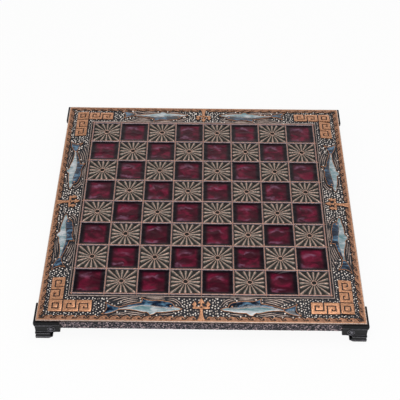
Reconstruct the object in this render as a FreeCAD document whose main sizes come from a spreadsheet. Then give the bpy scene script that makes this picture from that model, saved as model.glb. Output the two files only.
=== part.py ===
import FreeCAD, Part
import math
import os

import Sketcher
from FreeCAD import Placement, Rotation, Vector

# Enamel chessboard: a cast, copper-finished playing surface and border on a wooden core,
# with red enamel squares, enamelled dolphins and four capital-shaped feet at the corners.
# Millimetres. X runs along the front edge, Y from front to back and Z up; the origin is
# the centre of the footprint, on the surface that the feet stand on.

doc = FreeCAD.newDocument("enamel_chessboard")
sheet = doc.addObject("Spreadsheet::Sheet", "Sizes")

# The driving sizes. Heights named *_height are sizes of a piece, never shares of the whole.
DIMENSIONS = (
    # playing field
    ("squares_per_side", 8),
    ("square_pitch", 36),
    ("grid_ridge_base", 1.8),
    ("grid_ridge_crest", 0.7),
    ("grid_ridge_height", 1.7),
    ("ground_wall", 1.3),
    ("enamel_floor_wall", 0.7),
    ("red_enamel_thickness", 0.8),
    # sunburst in each metal square
    ("ray_count", 16),
    ("ray_root_width", 1.4),
    ("ray_width", 3.4),
    ("ray_root_height", 0.9),
    ("ray_height", 1.4),
    ("ray_gap", 0.6),
    ("hub_radius", 3.3),
    ("hub_height", 1.2),
    ("hub_hole_radius", 1.9),
    ("hub_hole_depth", 0.6),
    # sloping border casting
    ("border_width", 36),
    ("border_wall", 1.2),
    ("border_fall", 3.0),
    ("border_groove", 1.6),
    ("inner_ridge_width", 1.2),
    ("inner_ridge_crest", 0.8),
    ("inner_ridge_height", 1.2),
    ("relief_height", 0.8),
    ("relief_root", 0.4),
    ("border_enamel_thickness", 0.45),
    ("enamel_gap", 0.05),
    # ornament on the border
    ("wave_start", 5),
    ("wave_pitch", 11.9),
    ("wave_reach", 7.4),
    ("wave_band", 3.2),
    ("key_offset", 12.3),
    ("key_width", 14.7),
    ("key_unit", 15.6),
    ("key_line", 1.3),
    ("key_bar", 4.3),
    ("key_edge", 1.95),
    ("key_hook", 4.2),
    ("key_tail", 1.6),
    ("key_ring", 3.4),
    ("key_island", 4.8),
    ("drawn_border_width", 36),
    ("drawn_run", 120.5),
    ("dolphin_ridge", 0.8),
    ("eye_radius", 1.0),
    ("water_line_width", 0.9),
    ("trident_stem", 3.2),
    ("trident_hole_radius", 1.2),
    # wooden core, backing panel and side strips
    ("core_thickness", 13.5),
    ("panel_thickness", 2),
    ("panel_inset", 2.5),
    ("strip_thickness", 1.5),
    ("rim_overhang", 1.2),
    ("underside_height", 15.5),
    # corner feet
    ("foot_side", 28.5),
    ("foot_proud", 2.5),
    ("foot_gap", 0.2),
    ("capital_drop", 3),
    ("abacus_height", 4.4),
    ("echinus_inset", 0.8),
    ("bead_groove", 0.6),
    ("bead_pitch", 2.1),
    ("column_side", 16.7),
    ("column_inset", 1.8),
    ("plinth_height", 2.6),
    ("plinth_proud", 1.1),
    ("plinth_bevel", 0.9),
    ("flute_count", 7),
    ("flute_width", 0.95),
    ("flute_pitch", 1.75),
    ("flute_margin", 1.4),
    ("flute_depth", 0.5),
    ("flute_height", 7.6),
    ("flute_foot", 1.2),
    ("volute_radius", 5.6),
    ("volute_proud", 0.5),
    ("volute_line", 0.8),
    ("volute_centre", 17.6),
    ("capital_round", 2.4),
    ("pad_radius", 6),
    ("pad_thickness", 1.5),
    ("pad_proud", 0.5),
    ("pad_gap", 0.3),
    # screws
    ("foot_screw_near", 8.5),
    ("foot_screw_far", 23),
    ("foot_screw_radius", 1.5),
    ("foot_screw_head", 2.9),
    ("foot_screw_head_height", 1.6),
    ("foot_screw_length", 11),
    ("panel_screw_margin", 15),
    ("panel_screw_spread", 90),
    ("panel_screw_radius", 1.2),
    ("panel_screw_head", 2.3),
    ("panel_screw_head_height", 1.3),
    ("panel_screw_length", 9),
    ("screw_slot_width", 0.6),
    ("screw_slot_depth", 0.6),
    ("screw_gap", 0.1),
)
for row, (alias, number) in enumerate(DIMENSIONS, start=1):
    sheet.set(f"A{row}", alias)
    sheet.set(f"B{row}", str(number))
    sheet.setAlias(f"B{row}", alias)
doc.recompute()

# How near two heights or lengths are when they count as one.
TOUCH = 0.001


def value(expression):
    """The number that an expression on the sheet stands for."""
    return float(sheet.evalExpression(expression))


# Places worked out from the driving sizes, as expressions that features are bound to.
FIELD_HALF = "(Sizes.squares_per_side * Sizes.square_pitch / 2)"
BOARD_HALF = f"({FIELD_HALF} + Sizes.border_width)"
PLATE_HALF = f"({FIELD_HALF} + Sizes.grid_ridge_base / 2)"
BORDER_INNER = f"({PLATE_HALF} + Sizes.border_groove)"
STRIP_FACE = f"({BOARD_HALF} - Sizes.rim_overhang)"
CORE_HALF = f"({STRIP_FACE} - Sizes.strip_thickness)"
PANEL_HALF = f"({CORE_HALF} - Sizes.panel_inset)"
FOOT_REACH = f"({BOARD_HALF} + Sizes.foot_proud)"
SLOPE = f"(Sizes.border_fall / ({BOARD_HALF} - {BORDER_INNER}))"

PANEL_Z = "Sizes.underside_height"
CORE_Z = f"({PANEL_Z} + Sizes.panel_thickness)"
CASTING_Z = f"({CORE_Z} + Sizes.core_thickness)"
RIM_Z = f"({CASTING_Z} - Sizes.border_fall)"
GROUND_Z = f"({CASTING_Z} + Sizes.ground_wall)"
ENAMEL_Z = f"({CASTING_Z} + Sizes.enamel_floor_wall)"
CAPITAL_Z = f"({PANEL_Z} - Sizes.capital_drop)"
ENAMEL_SIDE = "(Sizes.square_pitch - Sizes.grid_ridge_base)"


def origin_feature(body, role):
    """A plane or axis of a body's own origin."""
    return next(item for item in body.Origin.OriginFeatures if item.Role == role)


def new_body(label):
    """A PartDesign body whose Label is the name of the piece."""
    body = doc.addObject("PartDesign::Body", label)
    body.Label = label
    return body


def new_sketch(body, name, lift="0 mm", role="XY_Plane"):
    """A sketch on an origin plane of the body, lifted along the plane's normal."""
    sketch = body.newObject("Sketcher::SketchObject", name)
    sketch.AttachmentSupport = [(origin_feature(body, role), "")]
    sketch.MapMode = "FlatFace"
    sketch.setExpression("AttachmentOffset.Base.z", lift)
    return sketch


def add_rectangle(sketch, left, right, low, high):
    """A rectangle in a sketch, its four sides placed by expressions."""
    x0, x1, y0, y1 = (value(text) for text in (left, right, low, high))
    corners = [Vector(x0, y0, 0), Vector(x1, y0, 0), Vector(x1, y1, 0), Vector(x0, y1, 0)]
    lines = [
        sketch.addGeometry(Part.LineSegment(corners[i], corners[(i + 1) % 4]), False)
        for i in range(4)
    ]
    for i in range(4):
        sketch.addConstraint(Sketcher.Constraint("Coincident", lines[i], 2, lines[(i + 1) % 4], 1))
        sketch.addConstraint(Sketcher.Constraint(("Horizontal", "Vertical")[i % 2], lines[i]))
    for kind, line, text in (
        ("DistanceX", lines[0], left),
        ("DistanceY", lines[0], low),
        ("DistanceX", lines[2], right),
        ("DistanceY", lines[2], high),
    ):
        index = sketch.addConstraint(Sketcher.Constraint(kind, -1, 1, line, 1, value(text)))
        sketch.setExpression(f"Constraints[{index}]", text)


def add_circle(sketch, x, y, radius):
    """A circle in a sketch, its centre and radius placed by expressions."""
    centre = Vector(value(x), value(y), 0)
    circle = sketch.addGeometry(Part.Circle(centre, Vector(0, 0, 1), value(radius)), False)
    for kind, text in (("DistanceX", x), ("DistanceY", y)):
        index = sketch.addConstraint(Sketcher.Constraint(kind, -1, 1, circle, 3, value(text)))
        sketch.setExpression(f"Constraints[{index}]", text)
    index = sketch.addConstraint(Sketcher.Constraint("Radius", circle, value(radius)))
    sketch.setExpression(f"Constraints[{index}]", radius)


def pad(body, name, sketch, length):
    """A pad up from a sketch."""
    feature = body.newObject("PartDesign::Pad", name)
    feature.Profile = (sketch, [""])
    feature.setExpression("Length", length)
    return feature


def pocket(body, name, sketch, length, upward=True):
    """A pocket from a sketch."""
    feature = body.newObject("PartDesign::Pocket", name)
    feature.Profile = (sketch, [""])
    feature.Reversed = upward
    feature.setExpression("Length", length)
    return feature


def dress(body, kind, name, edges):
    """A fillet or chamfer on named edges of the body as it stands."""
    base = body.Tip
    feature = body.newObject(f"PartDesign::{kind}", name)
    feature.Base = (base, edges)
    return feature


def square_block(label, half, lift, height):
    """A body that starts as a square slab centred on the board."""
    body = new_body(label)
    body.setExpression("Placement.Base.z", lift)
    sketch = new_sketch(body, f"{label}_outline")
    add_rectangle(sketch, f"-{half}", half, f"-{half}", half)
    pad(body, f"{label}_slab", sketch, height)
    return body


# Screws: countersunk and slotted, pointing up, eight of each size. A place is an X and Y
# that a polar pattern repeats at the four corners or sides.
FOOT_SCREW_PLACES = (
    (
        f"(Sizes.foot_screw_near - {FOOT_REACH})",
        f"(Sizes.foot_screw_far - {FOOT_REACH})",
    ),
    (
        f"(Sizes.foot_screw_far - {FOOT_REACH})",
        f"(Sizes.foot_screw_near - {FOOT_REACH})",
    ),
)
PANEL_SCREW_PLACES = (
    ("-Sizes.panel_screw_spread", f"(Sizes.panel_screw_margin - {PANEL_HALF})"),
    ("Sizes.panel_screw_spread", f"(Sizes.panel_screw_margin - {PANEL_HALF})"),
)


def drill(body, name, size, depth, place, sunk):
    """A clearance hole for a screw, up from a place, countersunk for its head if asked."""
    hole = body.newObject("PartDesign::SubtractiveCylinder", f"{name}_hole")
    hole.setExpression("Radius", f"Sizes.{size}_radius + Sizes.screw_gap")
    hole.setExpression("Height", depth)
    cutters = [hole]
    if sunk:
        sink = body.newObject("PartDesign::SubtractiveCone", f"{name}_sink")
        sink.setExpression("Radius1", f"Sizes.{size}_head + Sizes.screw_gap")
        sink.setExpression("Radius2", f"Sizes.{size}_radius + Sizes.screw_gap")
        sink.setExpression("Height", f"Sizes.{size}_head_height")
        cutters.append(sink)
    for cutter in cutters:
        for axis, text in zip("xyz", place):
            cutter.setExpression(f"Placement.Base.{axis}", text)
    return cutters


def drill_round(body, name, size, depth, places, sunk=False):
    """Screw holes up into a body, one for each place at each of the four sides."""
    cutters = []
    for number, (x, y) in enumerate(places, start=1):
        cutters += drill(body, f"{name}_{number}", size, depth, (x, y, "0 mm"), sunk)
    repeat_four(body, f"{name}_pattern", cutters)


def repeat_four(body, name, features):
    """Repeats features at the four corners or sides of the board."""
    pattern = body.newObject("PartDesign::PolarPattern", name)
    pattern.Originals = features
    pattern.Axis = (origin_feature(body, "Z_Axis"), [""])
    pattern.Angle = 360
    pattern.Occurrences = 4
    body.Tip = pattern


def screw_group(label, places, size, lift):
    """Countersunk screws, heads down, one for each place at each of the four sides."""
    body = new_body(label)
    body.setExpression("Placement.Base.z", lift)
    features = []
    for number, (x, y) in enumerate(places, start=1):
        head = body.newObject("PartDesign::AdditiveCone", f"{label}_head_{number}")
        head.setExpression("Radius1", f"Sizes.{size}_head")
        head.setExpression("Radius2", f"Sizes.{size}_radius")
        head.setExpression("Height", f"Sizes.{size}_head_height")
        shank = body.newObject("PartDesign::AdditiveCylinder", f"{label}_shank_{number}")
        shank.setExpression("Radius", f"Sizes.{size}_radius")
        shank.setExpression("Height", f"Sizes.{size}_length")
        slot = body.newObject("PartDesign::SubtractiveBox", f"{label}_slot_{number}")
        slot.setExpression("Length", f"2 * Sizes.{size}_head")
        slot.setExpression("Width", "Sizes.screw_slot_width")
        slot.setExpression("Height", "Sizes.screw_slot_depth")
        for part in (head, shank):
            part.setExpression("Placement.Base.x", x)
            part.setExpression("Placement.Base.y", y)
        slot.setExpression("Placement.Base.x", f"{x} - Sizes.{size}_head")
        slot.setExpression("Placement.Base.y", f"{y} - Sizes.screw_slot_width / 2")
        features += [head, shank, slot]
    repeat_four(body, f"{label}_pattern", features)
    return body


# Wooden core: a square board whose top edges are bevelled to carry the sloping border.
core = square_block("core_board", CORE_HALF, CORE_Z, "Sizes.core_thickness")
doc.recompute()
top_edges = [
    f"Edge{number}"
    for number, edge in enumerate(core.Shape.Edges, start=1)
    if edge.BoundBox.ZMin > value(CASTING_Z) - TOUCH
]
bevel = dress(core, "Chamfer", "core_board_bevel", top_edges)
bevel.ChamferType = "Two distances"
bevel.setExpression("Size", f"({CORE_HALF} - {BORDER_INNER}) * {SLOPE}")
bevel.setExpression("Size2", f"{CORE_HALF} - {BORDER_INNER}")
drill_round(
    core,
    "foot_pilot",
    "foot_screw",
    f"{CAPITAL_Z} + Sizes.foot_screw_length - {CORE_Z} + Sizes.screw_gap",
    FOOT_SCREW_PLACES,
)
drill_round(
    core,
    "panel_pilot",
    "panel_screw",
    "Sizes.panel_screw_length - Sizes.panel_thickness + Sizes.screw_gap",
    PANEL_SCREW_PLACES,
)

# Backing panel: thin blackened board that closes the underside between the side strips.
panel = square_block("backing_panel", PANEL_HALF, PANEL_Z, "Sizes.panel_thickness")
drill_round(panel, "foot", "foot_screw", "Sizes.panel_thickness", FOOT_SCREW_PLACES)
drill_round(panel, "panel", "panel_screw", "Sizes.panel_thickness", PANEL_SCREW_PLACES, sunk=True)
screw_group("panel_screws", PANEL_SCREW_PLACES, "panel_screw", PANEL_Z)
screw_group("foot_screws", FOOT_SCREW_PLACES, "foot_screw", CAPITAL_Z)


# Side strips: stamped metal strips round the edge of the core. The front and back ones
# run the full width and the side ones butt against them.
STRIP_HEIGHT = f"({RIM_Z} - {PANEL_Z})"
for label, across, along in (
    ("side_strip_front", -1, False),
    ("side_strip_back", 1, False),
    ("side_strip_left", -1, True),
    ("side_strip_right", 1, True),
):
    strip = doc.addObject("Part::Box", label)
    strip.Label = label
    face = f"-{STRIP_FACE}" if across < 0 else CORE_HALF
    if along:
        strip.setExpression("Length", "Sizes.strip_thickness")
        strip.setExpression("Width", f"2 * {CORE_HALF}")
        strip.setExpression("Placement.Base.x", face)
        strip.setExpression("Placement.Base.y", f"-{CORE_HALF}")
    else:
        strip.setExpression("Length", f"2 * {STRIP_FACE}")
        strip.setExpression("Width", "Sizes.strip_thickness")
        strip.setExpression("Placement.Base.x", f"-{STRIP_FACE}")
        strip.setExpression("Placement.Base.y", face)
    strip.setExpression("Height", STRIP_HEIGHT)
    strip.setExpression("Placement.Base.z", PANEL_Z)


# Corner feet: black castings, each a short fluted column under a capital with a volute on
# both outer faces. The capital wraps the corner of the board and its shelf carries it.
# In a foot's own frame the outer corner is at X = Y = 0 and the board lies at +X +Y.
PLINTH_Z = "Sizes.pad_proud"
ABACUS_Z = f"({RIM_Z} - Sizes.abacus_height)"
BOARD_POCKET = f"({FOOT_REACH} - {STRIP_FACE} - Sizes.foot_gap)"
COLUMN_FAR = "(Sizes.column_inset + Sizes.column_side)"
PLINTH_NEAR = "(Sizes.column_inset - Sizes.plinth_proud)"
PLINTH_FAR = f"({COLUMN_FAR} + Sizes.plinth_proud)"
COLUMN_CENTRE = "(Sizes.column_inset + Sizes.column_side / 2)"
FLUTE_START = "(Sizes.column_inset + Sizes.flute_margin)"
FLUTE_Z = f"({PLINTH_Z} + Sizes.plinth_height + Sizes.flute_foot)"
VOLUTE_Z = f"({CAPITAL_Z} + Sizes.volute_radius)"

# Edges of a volute's rings and of the eye inside them, counted inwards in line widths.
VOLUTE_EDGES = (0, 1, 2.5, 3.5, 5)

# The two outer faces of a foot: the origin plane that a face lies along, the sign that
# lifts a sketch inwards, and whether a pad outwards and a pocket inwards are reversed.
OUTER_FACES = (("XZ_Plane", "-", False, False), ("YZ_Plane", "", True, True))


def level_edges(body, low, high):
    """Names of the level edges of a body between two heights."""
    return [
        f"Edge{number}"
        for number, edge in enumerate(body.Shape.Edges, start=1)
        if edge.BoundBox.ZLength < TOUCH and low < edge.BoundBox.ZMin < high
    ]


def foot(label, quarter_turns):
    """One corner foot, turned to its corner of the board."""
    body = new_body(label)
    turn = Rotation(Vector(0, 0, 1), 90 * quarter_turns)
    body.Placement = Placement(Vector(0, 0, 0), turn)
    corner = turn.multVec(Vector(-1, -1, 0))
    body.setExpression("Placement.Base.x", f"{round(corner.x)} * {FOOT_REACH}")
    body.setExpression("Placement.Base.y", f"{round(corner.y)} * {FOOT_REACH}")
    far = "Sizes.foot_side"

    capital = new_sketch(body, f"{label}_capital_outline", CAPITAL_Z)
    add_rectangle(capital, "Sizes.echinus_inset", far, "Sizes.echinus_inset", far)
    pad(body, f"{label}_capital", capital, f"{RIM_Z} - {CAPITAL_Z}")
    doc.recompute()
    low = value(CAPITAL_Z)
    edges = level_edges(body, low - TOUCH, low + TOUCH)
    rounded = dress(body, "Fillet", f"{label}_capital_round", edges)
    rounded.setExpression("Radius", "Sizes.capital_round")

    abacus = new_sketch(body, f"{label}_abacus_outline", ABACUS_Z)
    add_rectangle(abacus, "0 mm", far, "0 mm", far)
    pad(body, f"{label}_abacus", abacus, "Sizes.abacus_height")

    column = new_sketch(body, f"{label}_column_outline", PLINTH_Z)
    add_rectangle(column, "Sizes.column_inset", COLUMN_FAR, "Sizes.column_inset", COLUMN_FAR)
    pad(body, f"{label}_column", column, f"{PANEL_Z} - {PLINTH_Z}")

    plinth = new_sketch(body, f"{label}_plinth_outline", PLINTH_Z)
    add_rectangle(plinth, PLINTH_NEAR, PLINTH_FAR, PLINTH_NEAR, PLINTH_FAR)
    pad(body, f"{label}_plinth", plinth, "Sizes.plinth_height")
    doc.recompute()
    top = value(f"{PLINTH_Z} + Sizes.plinth_height")
    outer_rim = [
        name
        for name in level_edges(body, top - TOUCH, top + TOUCH)
        if body.Shape.getElement(name).Length > value("Sizes.column_side") + TOUCH
    ]
    bevelled = dress(body, "Chamfer", f"{label}_plinth_bevel", outer_rim)
    bevelled.setExpression("Size", "Sizes.plinth_bevel")

    corner_pocket = new_sketch(body, f"{label}_board_outline", PANEL_Z)
    beyond = f"{far} + Sizes.foot_proud"
    add_rectangle(corner_pocket, BOARD_POCKET, beyond, BOARD_POCKET, beyond)
    pocket(body, f"{label}_board_pocket", corner_pocket, f"{RIM_Z} - {PANEL_Z} + Sizes.foot_gap")

    for number, (x, y) in enumerate((("near", "far"), ("far", "near")), start=1):
        place = (f"Sizes.foot_screw_{x}", f"Sizes.foot_screw_{y}", CAPITAL_Z)
        drill(body, f"{label}_screw_{number}", "foot_screw", "Sizes.capital_drop", place, True)
    recess = body.newObject("PartDesign::SubtractiveCylinder", f"{label}_pad_recess")
    recess.setExpression("Radius", "Sizes.pad_radius + Sizes.pad_gap")
    recess.setExpression("Height", "Sizes.pad_thickness - Sizes.pad_proud")
    recess.setExpression("Placement.Base.x", COLUMN_CENTRE)
    recess.setExpression("Placement.Base.y", COLUMN_CENTRE)
    recess.setExpression("Placement.Base.z", PLINTH_Z)

    for plane, sign, pad_reversed, pocket_reversed in OUTER_FACES:
        bead = new_sketch(body, f"{label}_bead_{plane}", "0 mm", plane)
        for step in (0, 1):
            bead_z = f"({ABACUS_Z} + Sizes.bead_groove + {step} * Sizes.bead_pitch)"
            add_rectangle(bead, "0 mm", beyond, bead_z, f"{bead_z} + Sizes.bead_groove")
        pocket(body, f"{label}_bead_groove_{plane}", bead, "Sizes.bead_groove", pocket_reversed)

        volute = new_sketch(body, f"{label}_volute_{plane}", f"{sign}Sizes.echinus_inset", plane)
        for lines in VOLUTE_EDGES:
            radius = f"Sizes.volute_radius - {lines} * Sizes.volute_line"
            add_circle(volute, "Sizes.volute_centre", VOLUTE_Z, radius)
        rings = pad(body, f"{label}_volute_rings_{plane}", volute, "Sizes.volute_proud")
        rings.Reversed = pad_reversed

        flute = new_sketch(body, f"{label}_flute_{plane}", f"{sign}Sizes.column_inset", plane)
        add_rectangle(
            flute,
            FLUTE_START,
            f"{FLUTE_START} + Sizes.flute_width",
            FLUTE_Z,
            f"{FLUTE_Z} + Sizes.flute_height",
        )
        cut = pocket(body, f"{label}_flute_cut_{plane}", flute, "Sizes.flute_depth", pocket_reversed)
        flutes = body.newObject("PartDesign::LinearPattern", f"{label}_flutes_{plane}")
        flutes.Originals = [cut]
        flutes.Direction = (flute, ["H_Axis"])
        flutes.setExpression("Length", "(Sizes.flute_count - 1) * Sizes.flute_pitch")
        flutes.setExpression("Occurrences", "Sizes.flute_count")
        body.Tip = flutes

    return body


for quarter_turns, label in enumerate(
    ("foot_front_left", "foot_front_right", "foot_back_right", "foot_back_left")
):
    foot(label, quarter_turns)

# Felt pads: four discs glued into the feet, standing a little proud of them.
pads = new_body("foot_pads")
disc = pads.newObject("PartDesign::AdditiveCylinder", "foot_pad_disc")
disc.setExpression("Radius", "Sizes.pad_radius")
disc.setExpression("Height", "Sizes.pad_thickness")
disc.setExpression("Placement.Base.x", f"{COLUMN_CENTRE} - {FOOT_REACH}")
disc.setExpression("Placement.Base.y", f"{COLUMN_CENTRE} - {FOOT_REACH}")
repeat_four(pads, "foot_pads_pattern", [disc])


def add_shape(label, shape):
    """A piece whose shape is worked out by Part's own functions from the sheet."""
    piece = doc.addObject("Part::Feature", label)
    piece.Label = label
    piece.Shape = shape
    return piece


def polygon(points):
    """A flat face with straight sides."""
    corners = [Vector(*point) for point in points]
    return Part.Face(Part.makePolygon(corners + corners[:1]))


def block(left, right, front, rear, low, high):
    """A box between two corners."""
    return Part.makeBox(right - left, rear - front, high - low, Vector(left, front, low))


# Playing field: one casting with a ridge along every grid line, a sunken pocket for each
# enamel square and a sunburst standing on the ground of each metal square.
count = round(value("Sizes.squares_per_side"))
pitch = value("Sizes.square_pitch")
plate_half = value(PLATE_HALF)
ground_z = value(GROUND_Z)
casting_z = value(CASTING_Z)
enamel_z = value(ENAMEL_Z)
square_half = value(ENAMEL_SIDE) / 2
ridge_top = ground_z + value("Sizes.grid_ridge_height")


def square_centre(column, rank):
    """The middle of a square, counted from the front left corner."""
    return (column - (count - 1) / 2) * pitch, (rank - (count - 1) / 2) * pitch


def is_enamel(column, rank):
    """The front left square is red enamel, and colours alternate from there."""
    return (column + rank) % 2 == 0


def ray(angle, start, end):
    """A sunburst ray: a tapering roof with a hipped outer end."""
    root, wide = value("Sizes.ray_root_width") / 2, value("Sizes.ray_width") / 2
    root_height, height = value("Sizes.ray_root_height"), value("Sizes.ray_height")
    hip = end - wide
    across = Vector(-math.sin(angle), math.cos(angle), 0)
    along = Vector(math.cos(angle), math.sin(angle), 0)

    def point(distance, side, rise):
        return along * distance + across * side + Vector(0, 0, rise)

    a, b = point(start, -root, 0), point(hip, -wide, 0)
    c, d = point(end, -wide / 2, 0), point(end, wide / 2, 0)
    e, f = point(hip, wide, 0), point(start, root, 0)
    inner, outer = point(start, 0, root_height), point(hip, 0, height)
    outlines = (
        (f, e, d, c, b, a),
        (a, b, outer),
        (a, outer, inner),
        (b, c, outer),
        (c, d, outer),
        (d, e, outer),
        (e, f, outer),
        (f, inner, outer),
        (f, a, inner),
    )
    solid = Part.Solid(Part.Shell([polygon(outline) for outline in outlines]))
    if solid.Volume < 0:
        solid.reverse()
    return solid


def sunburst():
    """The sunburst with the ground it stands on, centred on the origin at ground level."""
    base = block(-square_half, square_half, -square_half, square_half, casting_z - ground_z, 0)
    hub_radius = value("Sizes.hub_radius")
    ray_start = hub_radius - value("Sizes.ray_root_width") / 2
    hub = Part.makeCylinder(hub_radius, value("Sizes.hub_height"))
    rays = []
    for number in range(round(value("Sizes.ray_count"))):
        angle = 2 * math.pi * number / value("Sizes.ray_count")
        side = max(abs(math.cos(angle)), abs(math.sin(angle)))
        end = (square_half - value("Sizes.ray_gap")) / side
        rays.append(ray(angle, ray_start, end))
    hole = Part.makeCylinder(
        value("Sizes.hub_hole_radius"),
        value("Sizes.hub_height + Sizes.hub_hole_depth"),
        Vector(0, 0, -value("Sizes.hub_hole_depth")),
    )
    return base.multiFuse(rays + [hub]).cut(hole)


def field_shape():
    """The whole playing-field casting."""
    plate = block(-plate_half, plate_half, -plate_half, plate_half, casting_z, ground_z)
    one_sunburst = sunburst()
    past = value("Sizes.grid_ridge_height")
    cutters, sunbursts = [], []
    for column in range(count):
        for rank in range(count):
            x, y = square_centre(column, rank)
            sides = (x - square_half, x + square_half, y - square_half, y + square_half)
            floor = enamel_z if is_enamel(column, rank) else casting_z - past
            cutters.append(block(*sides, floor, ground_z + past))
            if not is_enamel(column, rank):
                sunbursts.append(one_sunburst.translated(Vector(x, y, ground_z)))
    plate = plate.cut(cutters)

    base, crest = value("Sizes.grid_ridge_base") / 2, value("Sizes.grid_ridge_crest") / 2
    profile = ((-base, ground_z), (base, ground_z), (crest, ridge_top), (-crest, ridge_top))
    ridges = []
    for line in range(count + 1):
        place = (line - count / 2) * pitch
        section = polygon([(-plate_half, place + offset, z) for offset, z in profile])
        ridge = section.extrude(Vector(2 * plate_half, 0, 0))
        ridges += [ridge, ridge.rotated(Vector(0, 0, 0), Vector(0, 0, 1), 90)]
    return plate.multiFuse(ridges).multiFuse(sunbursts)


add_shape("field_casting", field_shape())

# Red enamel: one fired slab in each pocket of the field, named by its square.
for column in range(count):
    for rank in range(count):
        if not is_enamel(column, rank):
            continue
        label = f"red_enamel_{chr(ord('a') + column)}{rank + 1}"
        enamel = doc.addObject("Part::Box", label)
        enamel.Label = label
        side = f"({ENAMEL_SIDE} - 2 * Sizes.enamel_gap)"
        start = f"(Sizes.squares_per_side - 1) / 2) * Sizes.square_pitch - {side} / 2"
        enamel.setExpression("Length", side)
        enamel.setExpression("Width", side)
        enamel.setExpression("Height", "Sizes.red_enamel_thickness")
        enamel.setExpression("Placement.Base.x", f"({column} - {start}")
        enamel.setExpression("Placement.Base.y", f"({rank} - {start}")
        enamel.setExpression("Placement.Base.z", ENAMEL_Z)


# Border ornament. Every outline is drawn flat for the front side: u runs along the edge
# from the middle of the side and v from the outer edge up the slope towards the field.
# It is drawn for one border width and one free run up to the Greek keys, and stretched.
board_half = value(BOARD_HALF)
border_inner = value(BORDER_INNER)
relief_height = value("Sizes.relief_height")
relief_root = value("Sizes.relief_root")
KEY_END = f"({BOARD_HALF} - Sizes.key_offset - Sizes.key_width - Sizes.key_line - 2 * Sizes.key_unit)"
rise = value("Sizes.border_width / Sizes.drawn_border_width")
run = value(f"{KEY_END} / Sizes.drawn_run")


def flat(u, v):
    """A point of a flat outline."""
    return Vector(u, v, 0)


def outline(start, *steps, stretch=(1, 1)):
    """A closed face of arcs (via point, end point) and straight lines (end point)."""
    edges, here = [], flat(start[0] * stretch[0], start[1] * stretch[1])
    first = here
    for step in steps:
        there = flat(step[-2] * stretch[0], step[-1] * stretch[1])
        if len(step) == 4:
            via = flat(step[0] * stretch[0], step[1] * stretch[1])
            edges.append(Part.Arc(here, via, there).toShape())
        else:
            edges.append(Part.LineSegment(here, there).toShape())
        here = there
    if here.distanceToPoint(first) > TOUCH:
        edges.append(Part.LineSegment(here, first).toShape())
    return Part.Face(Part.Wire(edges))


def disc_face(u, v, radius):
    """A flat disc."""
    return Part.Face(Part.Wire(Part.Circle(flat(u, v), Vector(0, 0, 1), radius).toShape()))


def arc_band(start, via, end, width):
    """A strip of steady width along an arc."""
    circle = Part.Arc(flat(*start), flat(*via), flat(*end)).toShape().Curve
    centre, radius = circle.Center, circle.Radius
    first, middle, last = (flat(*point) - centre for point in (start, via, end))
    outer, inner = 1 + width / 2 / radius, 1 - width / 2 / radius
    edges = [
        Part.Arc(centre + first * outer, centre + middle * outer, centre + last * outer).toShape(),
        Part.LineSegment(centre + last * outer, centre + last * inner).toShape(),
        Part.Arc(centre + last * inner, centre + middle * inner, centre + first * inner).toShape(),
        Part.LineSegment(centre + first * inner, centre + first * outer).toShape(),
    ]
    return Part.Face(Part.Wire(edges))


def rectangle_face(left, right, low, high):
    """A flat rectangle."""
    return outline((left, low), (right, low), (right, high), (left, high))


def mirrored(face):
    """A face mirrored about the middle of the side."""
    return face.mirror(Vector(0, 0, 0), Vector(1, 0, 0))


# Running wave along the outer edge: full-backed crests that curl towards the middle of each
# side. One is drawn this long and this high, and fitted to the pitch and the reach.
DRAWN_PITCH, DRAWN_REACH = 11.9, 7.4


def wave_crest(u):
    """One crest from its foot at u."""
    long = value("Sizes.wave_pitch") / DRAWN_PITCH
    high = value("Sizes.wave_reach") / DRAWN_REACH

    def at(du, dv):
        return u + du * long, dv * high

    return outline(
        at(11.8, 2.4),
        (*at(9.6, 5.5), *at(6.2, 6.7)),
        (*at(2.5, 6.9), *at(0.9, 4.6)),
        (*at(1.5, 3.9), *at(2.2, 4.5)),
        (*at(2.9, 5.6), *at(4.1, 5.0)),
        (*at(4.6, 3.6), *at(3.4, 2.4)),
    )


def wave_faces():
    """The band along the edge and the crests that run out from the middle of the side."""
    pitch_along, reach = value("Sizes.wave_pitch"), value("Sizes.wave_reach")
    faces = [rectangle_face(-board_half, board_half, 0, value("Sizes.wave_band"))]
    u = value("Sizes.wave_start")
    while u + pitch_along < board_half - reach:
        crest = wave_crest(u)
        faces += [crest, mirrored(crest)]
        u += pitch_along
    return faces


# Greek key: a square at each corner and an arm of two meander units along each side of it.
def line_path(points, width):
    """Rectangles of one width along a path that turns squarely."""
    half = width / 2
    faces = []
    for (u0, v0), (u1, v1) in zip(points, points[1:]):
        left, right = min(u0, u1) - half, max(u0, u1) + half
        faces.append(rectangle_face(left, right, min(v0, v1) - half, max(v0, v1) + half))
    return faces


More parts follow.
